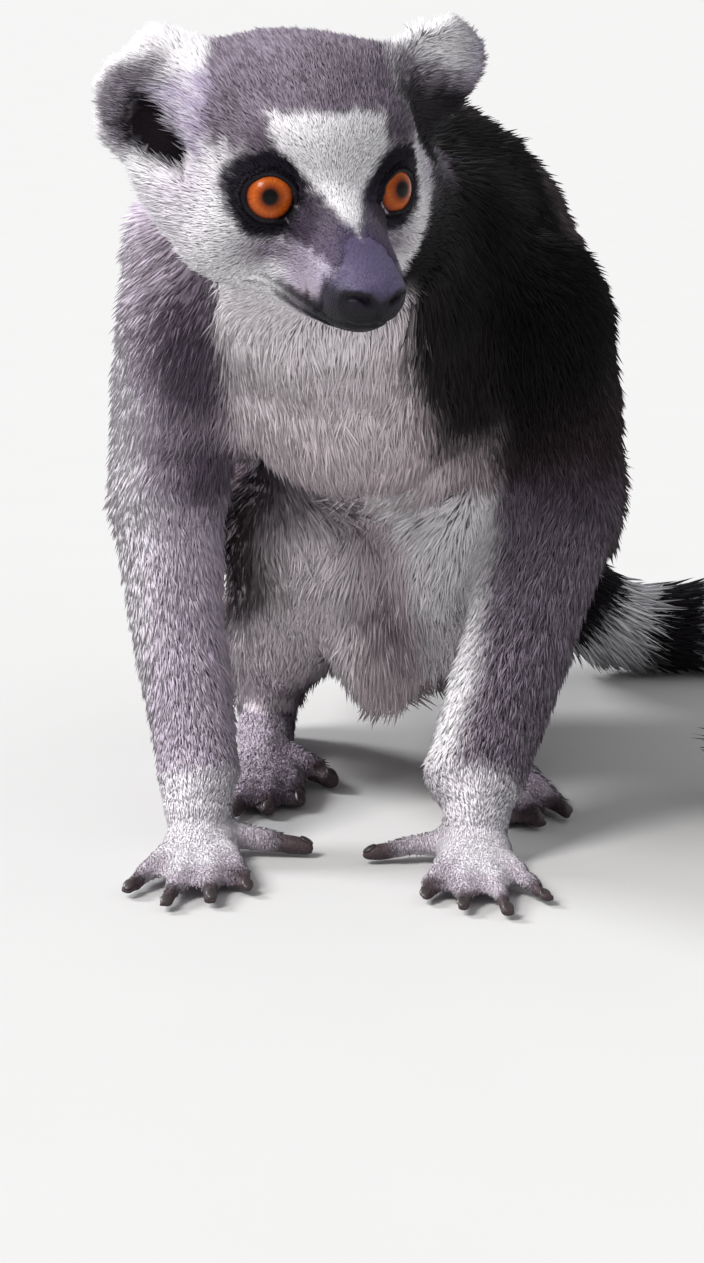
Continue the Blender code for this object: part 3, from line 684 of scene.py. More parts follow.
def bodyColours(body, normals, kinds, owners):
    colours, paint = painter(np.tile(tint("grey"), (len(body), 1)))
    x, y, z = body.T
    jitter = ripple(body, 16, 11) * 3.0 + ripple(body, 6, 12) * 1.6
    # back and flanks, then the white of throat, chest and belly
    trunk = np.isin(kinds, ("trunk", "neck", "head"))
    paint("backBrown", trunk * 0.75)
    middle = np.interp(z, [60, 110, 150, 190], [14, 6, -8, -12])
    half = np.interp(z, [60, 110, 135, 165, 190], [46, 30, 27, 28, 30])
    chest = ramp(half - np.abs(x - middle) + jitter * 0.7, -4, 4) * ramp(60 - y + 0.3 * (120 - z), 0, 30)
    under = ramp(-normals[:, 2] - 0.25 * normals[:, 1], 0.05, 0.5)
    white = trunk * np.maximum(chest * ramp(-normals[:, 1] - normals[:, 2] * 0.6, -0.35, 0.15), under)
    paint("cream", white)
    paint("white", white * ramp(z + jitter, 112, 184) * ramp(24 - x, 0, 20) * 0.65)
    for side in (-1, 1):
        def on(*names):  # 1 on these parts of this side
            return np.isin(owners, [name + "_" + sideNames[side] for name in names]).astype(float)

        arm, hand, foot, thigh = on("upper_arm", "forearm"), on("hand"), on("foot"), on("thigh")
        leg = on("thigh", "shank")
        paint("grey", arm)
        if side < 0:  # a pale arm with painted rim light along its outer edge and painted shadow in the folds beside the chest
            high = ramp(z + 0.8 * jitter, 84, 122)
            # the upper arm paler towards its outer edge: pale fur with painted rim light
            outer = ramp(-x + jitter * 0.5, 46, 64)
            paint("paleGrey", arm * (0.95 * (1 - high) + (0.25 + 0.75 * outer) * high))
            # painted highlight: the forearm's outer edge lit white by the rim light
            paint("white", arm * ramp(-x + 0.25 * y + jitter * 0.4, 58, 74) * 0.6)
            # painted shadow in the folds beside the chest
            shadow = blob(body, (-44, 0, 157), (11, far, 24)) * ramp(20 - y, 0, 24)
            shadow = np.maximum(shadow, blob(body, (-44, 0, 120), (9, far, 16)) * 0.8)
            shadow = np.maximum(shadow, blob(body, (-43, 0, 176), (12, far, 16)) * 0.7 * ramp(10 - y, 0, 14))
            paint("darkGrey", np.clip(arm * high * shadow * 1.4, 0, 0.95))
            paint("grey", arm * (1 - high) * ramp(x + 47 + jitter * 0.4, 0, 12) * 0.6)
        else:  # a grey arm painted darker than the right one, with painted shade deepening it to nearly black at the shoulder, and white along its inner side
            level = z + 0.25 * (40 - y) + jitter
            # painted shade over the arm's grey and brown fur, darker upwards
            paint("darkGrey", arm * (0.35 + 0.55 * ramp(level, 84, 116)))
            paint("shadedArmBrown", arm * ramp(level, 108, 134))
            paint("blackBrown", arm * ramp(level - 0.4 * (x - 40), 122, 152) * 0.95)
            rear = ramp(y - 0.2 * (184 - z) + 1.5 * jitter, 22, 58)  # towards the back and flank
            paint("backBrown", arm * ramp(level, 84, 120) * rear * 0.92)
            edge = np.interp(z, [26, 36, 48, 76, 98, 112, 128], [30, 33, 37.5, 44, 47, 46, 34])
            inner = ramp(edge - x + jitter * 0.3, -1.5, 2.2) * ramp(56 - y, 0, 12)
            paint("white", arm * ramp(136 - z, 0, 16) * inner * 0.95)
        # pale hands, grey feet, dark ends to fingers and toes, dark palms and soles
        paint("paleGrey", hand * (0.6 + 0.4 * ramp(z, 6, 14)))
        paint("white", hand * 0.7)
        paint("grey", foot)
        paint("paleGrey", foot * 0.6 * ramp(z, 2, 7))
        for kind, mask in (("hand", hand), ("foot", foot)):
            for root, tip in digitLines(kind, side):
                way = unit(tip - root)
                reach = (body - tip) @ way
                off = body - root - ((body - root) @ way)[:, None] * way
                near = mask * ramp(8 - np.linalg.norm(off, axis=1), 0, 2)
                paint("finger", near * ramp(reach, -30, -16) * 0.7)
                paint("palm", near * ramp(reach + 0.5 * jitter, -15, -6))
        paint("palm", hand * ramp(2.6 - z, 0, 1.5))
        # legs: pale in front and inside, grey outside
        paint("grey", leg)
        ahead = leg * ramp(-normals[:, 1] + jitter * 0.02, -0.1, 0.5)
        paint("cream", ahead * 0.95)
        paint("white", ahead * 0.4)
        paint("backBrown", thigh * ramp(y, 90, 130) * 0.5)
        if side > 0:  # the left groin and knee, beside the white of the forearm
            paint("white", ahead * ramp(x - 12 + 0.1 * (z - 80), 0, 6) * 0.85)
        outside = ramp(side * normals[:, 0] + 0.02 * jitter, 0.2, 0.75) * ramp(y, 34, 66)
        paint("backBrown", thigh * outside * ramp(z + 2 * jitter, 20, 96) * 0.9)
        paint("palm", foot * ramp(2.6 - z, 0, 1.5))
    # painted shade: a grey streak along the inner edge of the right knee, where it meets the belly
    gap = alongLine(body, kneeLine)[0]
    kneeShade = bell(gap + jitter * 0.4, 6.0) * np.isin(kinds, ("trunk", "thigh", "shank"))
    paint("darkGrey", np.clip(kneeShade * 0.8, 0, 0.75))
    # painted shade in the hollow between the right arm and the chest
    hollow = blob(body, (-26, 0, 118), (12, far, 16)) * ramp(y, 0, 30)
    paint("darkGrey", np.clip(hollow * 0.9, 0, 0.8) * ~np.isin(kinds, ("forearm", "upper_arm")))
    # the dark fur behind the head, on the left shoulder, with its deep shade painted in near black
    mantleAndShade = blob(body, (34, 16, 184), (42, 60, 46)) * 2.2 + jitter * 0.03
    mantleAndShade = np.clip(mantleAndShade, 0, 0.98) * np.isin(kinds, ("trunk", "neck", "upper_arm", "head"))
    paint("blackBrown", mantleAndShade * ramp(x - np.interp(z, [120, 140, 165, 200], [27, 17, 13, 12]), 0, 6))
    return colours

tailBands = 27  # black and white ones together

def tailRings(done, length):  # 1 where the tail is black
    ring = 0.5 - 0.5 * np.cos(done / length * tailBands * np.pi)
    return np.where(done > length * (1 - 1.6 / tailBands), 1.0, ramp(ring, 0.35, 0.65))

def lieOf(body, head, normals, kinds, owners, tailWay):  # the way the coat lies, from root to tip
    way = alongLine(body, pose["spine"])[2] * 0.8 + np.array((0, 0, -0.75))
    frontal = ramp(-normals[:, 1], 0.2, 0.7)[:, None]
    way = way * (1 - frontal) + np.array((0, 0, -1.0)) * frontal
    joints = ("shoulder", "elbow", "wrist", "hip", "knee", "ankle")
    for side in (-1, 1):
        joint = {name: np.array(pose[name][side], float) for name in joints}
        spans = {
            "upper_arm_": joint["elbow"] - joint["shoulder"],
            "forearm_": joint["wrist"] - joint["elbow"],
            "hand_": np.array((0, -1, -0.35)),
            "thigh_": unit(joint["knee"] - joint["hip"]) + np.array((0, 0.1, -0.7)),
            "shank_": unit(joint["ankle"] - joint["knee"]) * 0.6 + np.array((0, -0.1, -0.8)),
            "foot_": np.array((0, -1, -0.3)),
        }
        for key, span in spans.items():
            way[owners == key + sideNames[side]] = unit(span)
    way[kinds == "tail"] = tailWay[kinds == "tail"]
    back = unit(head - np.array(face["noseTip"], float)) + np.array((0, 0.35, -0.15))
    for side in (-1, 1):  # the coat parts round each eye
        away = head - eyeCentre(side)
        back += unit(away) * bell(np.linalg.norm(away, axis=1), 13)[:, None] * 1.2
        outwards = np.array((side, 0, 0.2)) @ earMatrix(side)[:3, :3].T @ headAxes.T
        way[owners == "ear_" + sideNames[side]] = outwards
    onHead = np.isin(kinds, ("head", "nose", "eye")) & (head[:, 2] > -44)
    way[onHead] = (back @ headAxes.T)[onHead]
    return unit(way)

coatLength = {
    "trunk": 15, "neck": 13, "upper_arm": 10.5, "forearm": 7, "hand": 3.2, "thigh": 12, "shank": 9,
    "foot": 3.4, "tail": 16, "head": 7, "ear": 4.5, "nose": 0.8, "eye": 3,
}

def lengthsOf(body, head, kinds, edges):
    length = np.array([float(coatLength[kind]) for kind in kinds])
    x, y, z = head.T
    onHead = (kinds == "head") & (z > -42)
    short = 1.3 + 1.9 * ramp(y, -22, 0) + 3.2 * ramp(y, 2, 34)
    cheek = 3.2 * ramp(np.abs(x), 22, 36) * ramp(-z, -4, 16) * ramp(y, 4, 22)
    length[onHead] = (short + cheek)[onHead]
    low = (kinds == "forearm") & (body[:, 2] < 66)
    length[low] = 4.6 + 3.4 * ramp(body[low, 2], 28, 66)
    hand = kinds == "hand"
    length[hand] = 1.6 + 2.4 * ramp(body[hand, 2], 8, 22)
    length = length * (1 - 0.62 * blob(head, (0, -24, -38), (17, 17, 17)))  # under the chin
    fringe = blob(body, (21, 66, 46), (14, 30, 16)) * np.isin(kinds, ("trunk", "shank", "thigh"))
    return spread(length + 3.5 * fringe, edges, 6, np.where(y < 20, 0.4, 1.0))

def markSkin(mesh, parts):
    places = pointsOf(mesh)
    normals = normalsOf(mesh)
    edges = edgesOf(mesh)
    owners = ownersOf(places, parts)
    body, head = toBody(places), toHead(places)
    x, y, z = head.T
    below = (z < -37 - 0.25 * np.maximum(y, 0)) & (y > -15)
    skull = np.linalg.norm((head - (0, 22, -1)) / (49, 70, 44), axis=1)
    below |= (skull > 1) & (z < -8) & (y > -12)
    owners[(owners == "head") & below] = "neck"
    kinds = kindsOf(owners)
    colours = bodyColours(body, normals, kinds, owners)
    colours = spread(colours, edges, 3, np.where((y < 40) & (z > -40), 0.0, 1.0))
    hands = np.isin(kinds, ("hand", "foot"))
    soles = hands * ramp(3.4 - body[:, 2], 0, 1.5)
    bare = np.maximum(soles, hands * ramp(0.16 - colours[:, 0], 0, 0.08))
    onHead = np.isin(kinds, ("head", "nose", "ear", "eye")) & ((z > -38) | (y < -15))
    known = colours[onHead]
    faceTone, bare[onHead] = faceColours(head[onHead], known, bare[onHead])
    sure = np.maximum(ramp(z[onHead], -40, -27), ramp(-y[onHead], 9, 16))
    colours[onHead] = known + (faceTone - known) * sure[:, None]
    near = onHead & ((np.abs(x) > 22) & (z > -14) | (kinds == "ear"))
    colours[near], bare[near] = earColours(head[near], normals[near] @ headAxes, colours[near], bare[near])
    line = tailLine()
    _, done, tailWay = alongLine(body, line)
    rings = tailRings(done, np.linalg.norm(np.diff(line, axis=0), axis=1).sum())
    tail = over(np.tile(tint("white") * 0.9, (len(body), 1)), "ringBlack", rings)
    tail = np.where((done < 34)[:, None], tint("grey"), tail)
    colours[kinds == "tail"] = tail[kinds == "tail"]

    way = spread(lieOf(body, head, normals, kinds, owners, tailWay), edges, 10)
    way = unit(way - normals * np.sum(way * normals, axis=1, keepdims=True))
    beside = spread(bare, edges, 12) * (y < 10) * (z > -40)  # bare skin has short coat round it
    length = lengthsOf(body, head, kinds, edges) * (1 - 0.7 * np.clip(beside * 1.4, 0, 1))
    grizzle = 0.14 + 0.66 * bell(colours.mean(axis=1) - 0.27, 0.17)  # tufts differ most in the greys
    store(mesh, "coatColour", "FLOAT_COLOR", np.clip(colours, 0, 1))
    store(mesh, "bare", "FLOAT", bare)
    store(mesh, "gloss", "FLOAT", bare * (1 - ramp(np.abs(x), 24, 28) * (z > -20)))
    store(mesh, "grizzle", "FLOAT", grizzle)
    store(mesh, "coatLie", "FLOAT_VECTOR", way)
    store(mesh, "coatLength", "FLOAT", length * mm)
    return {"body": body, "head": head, "normals": normals, "kinds": kinds, "owners": owners, "bare": bare}

def unwrapSkin(skin):  # the unwrap of the skin's own shape that its colours are kept on
    bpy.context.view_layer.objects.active = skin
    skin.select_set(True)
    skin.data.uv_layers.new(name="OFBake")
    bpy.ops.object.mode_set(mode="EDIT")
    bpy.ops.mesh.select_all(action="SELECT")
    bpy.ops.uv.smart_project(angle_limit=math.radians(70), island_margin=0.0005)
    bpy.ops.object.mode_set(mode="OBJECT")
    skin.select_set(False)
    print("skin: unwrapped")

# Shader groups and materials.
class Board:  # a node tree with short ways to add and link its nodes
    def __init__(self, tree):
        self.tree = tree

    def add(self, kind, inputs=None, **settings):
        node = self.tree.nodes.new(kind)
        for key, value in settings.items():
            setattr(node, key, value)
        for key, value in (inputs or {}).items():
            self.feed(node, key, value)
        return node

    def feed(self, node, key, value):
        if isinstance(value, bpy.types.Node):
            value = value.outputs[0]
        if isinstance(value, bpy.types.NodeSocket):
            self.tree.links.new(value, node.inputs[key])
        else:
            node.inputs[key].default_value = value

    def maths(self, operation, first, second=0.5):
        return self.add("ShaderNodeMath", {0: first, 1: second}, operation=operation).outputs[0]

    def vectors(self, operation, first, second=None):
        node = self.add("ShaderNodeVectorMath", {0: first}, operation=operation)
        if second is not None:
            self.feed(node, 1, second)
        return node.outputs["Value"] if operation == "DOT_PRODUCT" else node.outputs["Vector"]

    def scaled(self, vector, factor):
        node = self.add("ShaderNodeVectorMath", {0: vector, "Scale": factor}, operation="SCALE")
        return node.outputs["Vector"]

    def noise(self, place, scale, detail, **more):
        return self.add("ShaderNodeTexNoise", {"Vector": place, "Scale": scale, "Detail": detail, **more})

    def ranged(self, value, toLow, toHigh, low=0.0, high=1.0):
        given = {"Value": value, "From Min": low, "From Max": high, "To Min": toLow, "To Max": toHigh}
        return self.add("ShaderNodeMapRange", given).outputs[0]

    def mixed(self, factor, first, second):
        return self.add("ShaderNodeMix", {0: factor, 6: first, 7: second}, data_type="RGBA").outputs[2]

    def stored(self, name, output="Fac"):  # what the mesh keeps under a name
        return self.add("ShaderNodeAttribute", attribute_name=name).outputs[output]

    def grouped(self, name, inputs):
        node = self.add("ShaderNodeGroup", node_tree=shared[name])
        for key, value in inputs.items():
            self.feed(node, key, value)
        return node

def groupTree(name, inputs, outputs, kind="ShaderNodeTree"):
    tree = bpy.data.node_groups.new(name, kind)
    for way, sockets in (("INPUT", inputs), ("OUTPUT", outputs)):
        for label, socket in sockets.items():
            tree.interface.new_socket(label, in_out=way, socket_type="NodeSocket" + socket)
    board = Board(tree)
    return board, board.add("NodeGroupInput").outputs, board.add("NodeGroupOutput")

def coatToneGroup():  # the uneven tone of single hairs, with painted shade that darkens each tuft towards its root
    inputs = {"Colour": "Color", "Shade": "Float", "Along": "Float", "Grizzle": "Float", "RootShade": "Float"}
    board, given, result = groupTree("coatTone", inputs, {"Colour": "Color", "Roughness": "Float"})
    off = board.maths("SUBTRACT", given["Shade"], 0.5)
    swing = board.maths("MULTIPLY", board.maths("MULTIPLY", off, given["Grizzle"]), 1.5)
    # painted shade: the tone falls from 1.08 at three quarters along to the given root value at the root
    rootShading = board.ranged(given["Along"], given["RootShade"], 1.08, 0.0, 0.75)
    tone = board.maths("MULTIPLY", board.maths("ADD", swing, 1.0), rootShading)
    board.feed(result, "Colour", board.scaled(given["Colour"], tone))
    board.feed(result, "Roughness", board.ranged(given["Shade"], 0.62, 0.82))
    return board.tree

def leatherGroup():  # fine pebbled grain with creases
    inputs = {"Vector": "Vector", "Size": "Float"}
    board, given, result = groupTree("leatherGrain", inputs, {"Height": "Float", "Tone": "Float"})
    scale = board.maths("DIVIDE", 1.0, given["Size"])
    cells = board.add("ShaderNodeTexVoronoi", {"Vector": given["Vector"], "Scale": scale}, feature="F1")
    noise = board.noise(given["Vector"], scale, 3.0)
    board.feed(result, "Height", board.maths("SUBTRACT", noise.outputs[0], cells.outputs["Distance"]))
    board.feed(result, "Tone", board.ranged(noise.outputs[0], 0.8, 1.2, 0.3, 0.7))
    return board.tree

shared = {"coatTone": coatToneGroup(), "leatherGrain": leatherGroup()}

def newMaterial(name, values=None):
    material = bpy.data.materials.new(name)
    material.use_nodes = True
    board, shader = Board(material.node_tree), material.node_tree.nodes["Principled BSDF"]
    for key, value in (values or {}).items():
        board.feed(shader, key, value)
    return material, board, shader

def objectPlace(board):
    return board.add("ShaderNodeTexCoord").outputs["Object"]

tufts = {
    "stray": 0.26,  # how far single tufts stray from the lie
    "variation": 0.30,  # in length
    "curl": 0.10,  # how far the tips wander, as a part of the length
    "softness": 0.82,  # how far the light falls on a tuft as on the body under it
    "shape": (0.42, 0.10),  # how high its widest part is and how far it bows, as parts of the length
    "patch": 0.003,  # how wide its patch of the unwrap is
    "floor": 0.0003,  # metres above the floor at which the lowest are held
}

def coatMaterial():
    looks = {"Specular IOR Level": 0.1, "Sheen Weight": 0.04, "Sheen Roughness": 0.5}
    material, board, shader = newMaterial("coat hair", looks)
    # the tone group paints shade that darkens each tuft towards its root
    tone = board.grouped("coatTone", {
        "Colour": board.stored("coatColour", "Color"), "Shade": board.stored("tuftShade"),
        "Along": board.stored("along"), "Grizzle": board.stored("grizzle"), "RootShade": 0.8,
    })
    board.feed(shader, "Base Color", tone.outputs["Colour"])
    board.feed(shader, "Roughness", tone.outputs["Roughness"])
    own = board.scaled(board.add("ShaderNodeNewGeometry").outputs["Normal"], 1 - tufts["softness"])
    rooted = board.scaled(board.stored("rootNormal", "Vector"), tufts["softness"])
    board.feed(shader, "Normal", board.vectors("NORMALIZE", board.vectors("ADD", own, rooted)))
    return material

def skinMaterial():
    material, board, shader = newMaterial("skin under the coat")
    place = objectPlace(board)
    noise = board.noise(place, 900.0, 4.0)
    colour = board.stored("coatColour", "Color")
    tone = board.grouped("coatTone", {
        "Colour": colour, "Shade": noise.outputs[0], "Along": 0.6, "RootShade": 0.7,
        "Grizzle": board.stored("grizzle"),
    })
    leather = board.grouped("leatherGrain", {"Vector": place, "Size": 0.0007})
    bare, gloss = board.stored("bare"), board.stored("gloss")
    bareTone = board.scaled(colour, leather.outputs["Tone"])
    board.feed(shader, "Base Color", board.mixed(bare, tone.outputs["Colour"], bareTone))
    board.feed(shader, "Specular IOR Level", board.ranged(gloss, 0.04, 0.15))
    uneven = board.maths("SUBTRACT", board.noise(place, 160.0, 2.0).outputs[0], 0.5)
    uneven = board.maths("MULTIPLY", uneven, 0.2)
    board.feed(shader, "Roughness", board.maths("ADD", board.ranged(gloss, 0.9, 0.46), uneven))
    height = board.mixed(bare, noise.outputs[1], leather.outputs["Height"])
    bump = board.add("ShaderNodeBump", {"Height": height, "Strength": 0.5, "Distance": 0.00035})
    board.feed(shader, "Normal", bump)
    return material

# The coat.
def coatTree():
    inputs = {
        "Skin": "Geometry", "Tuft": "Object", "Hair": "Material", "Seed": "Int", "Rise": "Float",
        "Stray": "Float", "Locks": "Float", "Lock Size": "Float", "Variation": "Float", "Curl": "Float",
    }
    board, given, result = groupTree("laidCoat", inputs, {"Coat": "Geometry"}, "GeometryNodeTree")

    def named(name, kind="FLOAT"):
        return board.add("GeometryNodeInputNamedAttribute", {"Name": name}, data_type=kind).outputs[0]

    def random(low, high, offset, kind="FLOAT"):
        node = board.add("FunctionNodeRandomValue", data_type=kind)
        start = 0 if kind == "FLOAT_VECTOR" else 2
        board.feed(node, start, low)
        board.feed(node, start + 1, high)
        board.feed(node, "Seed", board.maths("ADD", given["Seed"], offset))
        return node.outputs[0 if kind == "FLOAT_VECTOR" else 1]

    def keep(geometry, name, value, kind, domain="POINT"):
        inputs = {"Geometry": geometry, "Name": name, "Value": value}
        return board.add("GeometryNodeStoreNamedAttribute", inputs, data_type=kind, domain=domain)

    def times(*factors):
        product = factors[0]
        for factor in factors[1:]:
            product = board.maths("MULTIPLY", product, factor)
        return product

    def wander(scale):  # a noise without a lean to either side
        colour = board.noise(where, scale, 1.0).outputs["Color"]
        return board.vectors("SUBTRACT", colour, (0.5, 0.5, 0.5))

    scatter = board.add("GeometryNodeDistributePointsOnFaces", {
        "Mesh": given["Skin"], "Density": named("coatDensity"), "Seed": given["Seed"],
    })
    normal = scatter.outputs["Normal"]
    where = board.add("GeometryNodeInputPosition").outputs[0]
    # each tuft follows the lie of the coat, strays from it with its lock and by itself, and rises a little
    lockScale = board.maths("DIVIDE", 1.0, given["Lock Size"])
    lock = board.scaled(wander(lockScale), times(given["Locks"], 3.0))
    stray = board.scaled(random((-1, -1, -1), (1, 1, 1), 11, "FLOAT_VECTOR"), given["Stray"])
    way = board.vectors("ADD", named("coatLie", "FLOAT_VECTOR"), board.vectors("ADD", lock, stray))
    out = board.scaled(normal, board.vectors("DOT_PRODUCT", way, normal))
    way = board.vectors("NORMALIZE", board.vectors("SUBTRACT", way, out))
    rise = times(given["Rise"], random(0.65, 1.3, 12))
    flat = board.scaled(way, board.maths("COSINE", rise))
    heading = board.vectors("ADD", flat, board.scaled(normal, board.maths("SINE", rise)))
    axes = {"Primary Axis": heading, "Secondary Axis": normal}
    turn = board.add("FunctionNodeAxesToRotation", axes, primary_axis="Z", secondary_axis="X")
    least = board.maths("SUBTRACT", 1.0, given["Variation"])
    most = board.maths("ADD", 1.0, given["Variation"])
    length = times(named("coatLength"), random(least, most, 13))
    width = times(named("coatWidth"), random(0.75, 1.3, 14))
    size = board.add("ShaderNodeCombineXYZ", {"X": length, "Y": width, "Z": length})

    points = keep(scatter.outputs["Points"], "tuftShade", random(0.0, 1.0, 15), "FLOAT")
    points = keep(points, "rootPlace", named("OFBake", "FLOAT_VECTOR"), "FLOAT_VECTOR")
    points = keep(points, "rootNormal", normal, "FLOAT_VECTOR")
    points = board.add("GeometryNodeRemoveAttribute", {"Geometry": points, "Name": "OFBake"})
    tuft = board.add("GeometryNodeObjectInfo", {"Object": given["Tuft"]}).outputs["Geometry"]
    laid = board.add("GeometryNodeInstanceOnPoints", {
        "Points": points, "Instance": tuft, "Rotation": turn, "Scale": size,
    })
    real = board.add("GeometryNodeRealizeInstances", {"Geometry": laid})
    # tips wander together, as soft hair does, and no tuft goes through the floor
    reach = times(named("along"), named("along"), named("coatLength"), times(given["Curl"], 4.0))
    offset = board.scaled(wander(times(lockScale, 1.7)), reach)
    curled = board.add("GeometryNodeSetPosition", {"Geometry": real, "Offset": offset})
    place = board.add("ShaderNodeSeparateXYZ", {"Vector": where}).outputs
    above = board.maths("MAXIMUM", place["Z"], tufts["floor"])
    above = board.add("ShaderNodeCombineXYZ", {"X": place["X"], "Y": place["Y"], "Z": above})
    curled = board.add("GeometryNodeSetPosition", {"Geometry": curled, "Position": above})
    patch = board.vectors("SUBTRACT", named("tuftPlace", "FLOAT_VECTOR"), (0.5, 0.5, 0))
    bake = board.vectors("ADD", named("rootPlace", "FLOAT_VECTOR"), board.scaled(patch, tufts["patch"]))
    mapped = keep(curled, "OFBake", bake, "FLOAT2", "CORNER")
    coat = board.add("GeometryNodeSetMaterial", {"Geometry": mapped, "Material": given["Hair"]})
    board.feed(result, "Coat", coat)
    return board.tree

def tuftShape():  # a leaf-shaped tuft along Z, pointed at both ends and bowed towards +X
    height, bend = tufts["shape"]
    points = [(0, 0, 0), (bend, -0.5, height), (bend, 0.5, height), (0, 0, 1)]
    mesh = meshOf("tuft", points, [(0, 1, 2), (1, 3, 2), (0, 3, 1), (0, 2, 3)])
    faceOutwards(mesh)
    store(mesh, "along", "FLOAT", [p[2] for p in points])
    corners = listed(mesh.loops, "vertex_index", 1, np.int32).ravel()
    spot = np.array([(0.5 + p[1], p[2]) for p in points])
    store(mesh, "tuftPlace", "FLOAT2", spot[corners], "CORNER")
    return pieceOf("tuft", mesh)

def pieceForEach(marks):  # which piece of the coat each point of the skin belongs to
    kinds, owners, head, normals = marks["kinds"], marks["owners"], marks["head"], marks["normals"]
    names = np.full(len(kinds), "coatBack", object)
    trunk = kinds == "trunk"
    names[trunk & (normals[:, 0] * 0.9 - normals[:, 2] * 0.5 > 0.25)] = "coatFlanks"
    front = (normals[:, 1] < -0.2) & (marks["body"][:, 1] < 70) | (normals[:, 2] < -0.35)
    names[trunk & front | (kinds == "neck")] = "coatChest"
    for side in ("right", "left"):
        names[np.isin(owners, ("upper_arm_" + side, "forearm_" + side))] = "coatArm" + side.capitalize()
        names[np.isin(owners, ("thigh_" + side, "shank_" + side))] = "coatLeg" + side.capitalize()
    for kind, name in (("hand", "Hands"), ("foot", "Feet"), ("tail", "Tail"), ("ear", "Ears")):
        names[kinds == kind] = "coat" + name
    onHead = np.isin(kinds, ("head", "nose", "eye"))
    names[onHead] = "coatCrown"
    names[onHead & (head[:, 1] < 14) & (head[:, 2] > -36)] = "coatFace"
    names[onHead & (head[:, 2] < -44)] = "coatChest"
    return names

def pointAreas(mesh):  # a third of the area of the triangles round each point, in square metres
    mesh.calc_loop_triangles()
    triangles = listed(mesh.loop_triangles, "vertices", 3, np.int32)
    places = pointsOf(mesh)
    a, b, c = (places[triangles[:, k]] for k in range(3))
    area = np.linalg.norm(np.cross(b - a, c - a), axis=1) / 2
    return sum(np.bincount(triangles[:, k], area / 3, len(places)) for k in range(3))

def densityOf(marks):  # where the coat is thicker or thinner, 0 where there is none
    head = marks["head"]
    density = 1 - ramp(marks["bare"], 0.25, 0.6)
    short = 1 + 1.6 * ramp(-head[:, 1], -6, 18) * (head[:, 2] > -36)
    density *= np.where(marks["kinds"] == "head", short, 1)
    density *= 1 - ramp(1.6 - marks["body"][:, 2], 0, 1.2)  # none under the soles
    ahead = ramp(marks["normals"] @ np.array((0, -0.96, 0.28)), -0.5, 0.5)
    return density * (0.7 + 0.6 * ahead)

coatPieces = {  # each piece of the coat: how many tufts, how wide, how they rise and how they lock together
    "coatFace": dict(tufts=46000, width=0.27, rise=0.34, locks=0.14, lockSize=4.0, seed=21),
    "coatCrown": dict(tufts=40000, width=0.36, rise=0.42, locks=0.24, lockSize=6.0, seed=22),
    "coatEars": dict(tufts=17000, width=0.32, rise=0.42, locks=0.30, lockSize=6.0, seed=23),
    "coatChest": dict(tufts=42000, width=0.46, rise=0.34, locks=0.22, lockSize=11.0, seed=24),
    "coatBack": dict(tufts=36000, width=0.54, rise=0.36, locks=0.22, lockSize=10.0, seed=25),
    "coatFlanks": dict(tufts=32000, width=0.54, rise=0.36, locks=0.22, lockSize=10.0, seed=26),
    "coatArmRight": dict(tufts=34000, width=0.41, rise=0.36, locks=0.26, lockSize=5.0, seed=27),
    "coatArmLeft": dict(tufts=34000, width=0.41, rise=0.36, locks=0.26, lockSize=5.0, seed=28),
    "coatLegRight": dict(tufts=24000, width=0.48, rise=0.36, locks=0.26, lockSize=8.0, seed=29),
    "coatLegLeft": dict(tufts=18000, width=0.52, rise=0.36, locks=0.26, lockSize=8.0, seed=30),
    "coatHands": dict(tufts=16000, width=0.34, rise=0.26, locks=0.18, lockSize=4.0, seed=31),
    "coatFeet": dict(tufts=9000, width=0.38, rise=0.26, locks=0.18, lockSize=4.0, seed=32),
    "coatTail": dict(tufts=24000, width=0.52, rise=0.38, locks=0.22, lockSize=8.0, seed=33),
}

def layCoat(skin, marks, hair):
    tree = coatTree()
    ids = {item.name: item.identifier for item in tree.interface.items_tree if item.in_out == "INPUT"}
    tuft = tuftShape()
    mesh = skin.data.copy()
    names = pieceForEach(marks)
    areas = pointAreas(mesh)
    density = densityOf(marks)
    made = []
    for name, plan in coatPieces.items():
        share = density * (names == name)
        store(mesh, "coatDensity", "FLOAT", share * plan["tufts"] / (share * areas).sum())
        store(mesh, "coatWidth", "FLOAT", np.full(len(areas), plan["width"] * mm))
        piece = pieceOf(name, mesh)
        lay = piece.modifiers.new("lay", "NODES")
        lay.node_group = tree
        told = {
            "Tuft": tuft, "Seed": plan["seed"], "Rise": plan["rise"], "Stray": tufts["stray"], "Hair": hair,
            "Locks": plan["locks"], "Lock Size": plan["lockSize"] * mm, "Variation": tufts["variation"],
            "Curl": tufts["curl"],
        }
        for label, value in told.items():
            lay[ids[label]] = value
        result = settled(piece)
        result.name = name
        for extra in ("rootPlace", "tuftPlace", "coatLie", "coatLength", "coatWidth", "coatDensity", "bare"):
            if extra in result.attributes:
                result.attributes.remove(result.attributes[extra])
        made.append(piece)
        print("coat:", name, len(result.polygons), "triangles")
    bpy.data.objects.remove(tuft)
    return made

eyeMakings = {
    "rings": 48,
    "spokes": 64,
    "cornea": (40, 0.55),  # its half angle in degrees, and how far it stands out
    "iris": [  # colours from the middle of the pupil outwards
        (0.0, (0.001, 0.001, 0.001)), (0.19, (0.002, 0.001, 0.001)), (0.22, (0.05, 0.010, 0.003)),
        (0.31, (0.24, 0.040, 0.006)), (0.48, (0.46, 0.095, 0.010)), (0.64, (0.36, 0.060, 0.007)),
        (0.72, (0.12, 0.018, 0.004)), (0.765, (0.004, 0.002, 0.002)), (1.0, (0.003, 0.002, 0.002)),
    ],
    "irisEdge": 60.0,  # degrees from the gaze at which those colours end
}

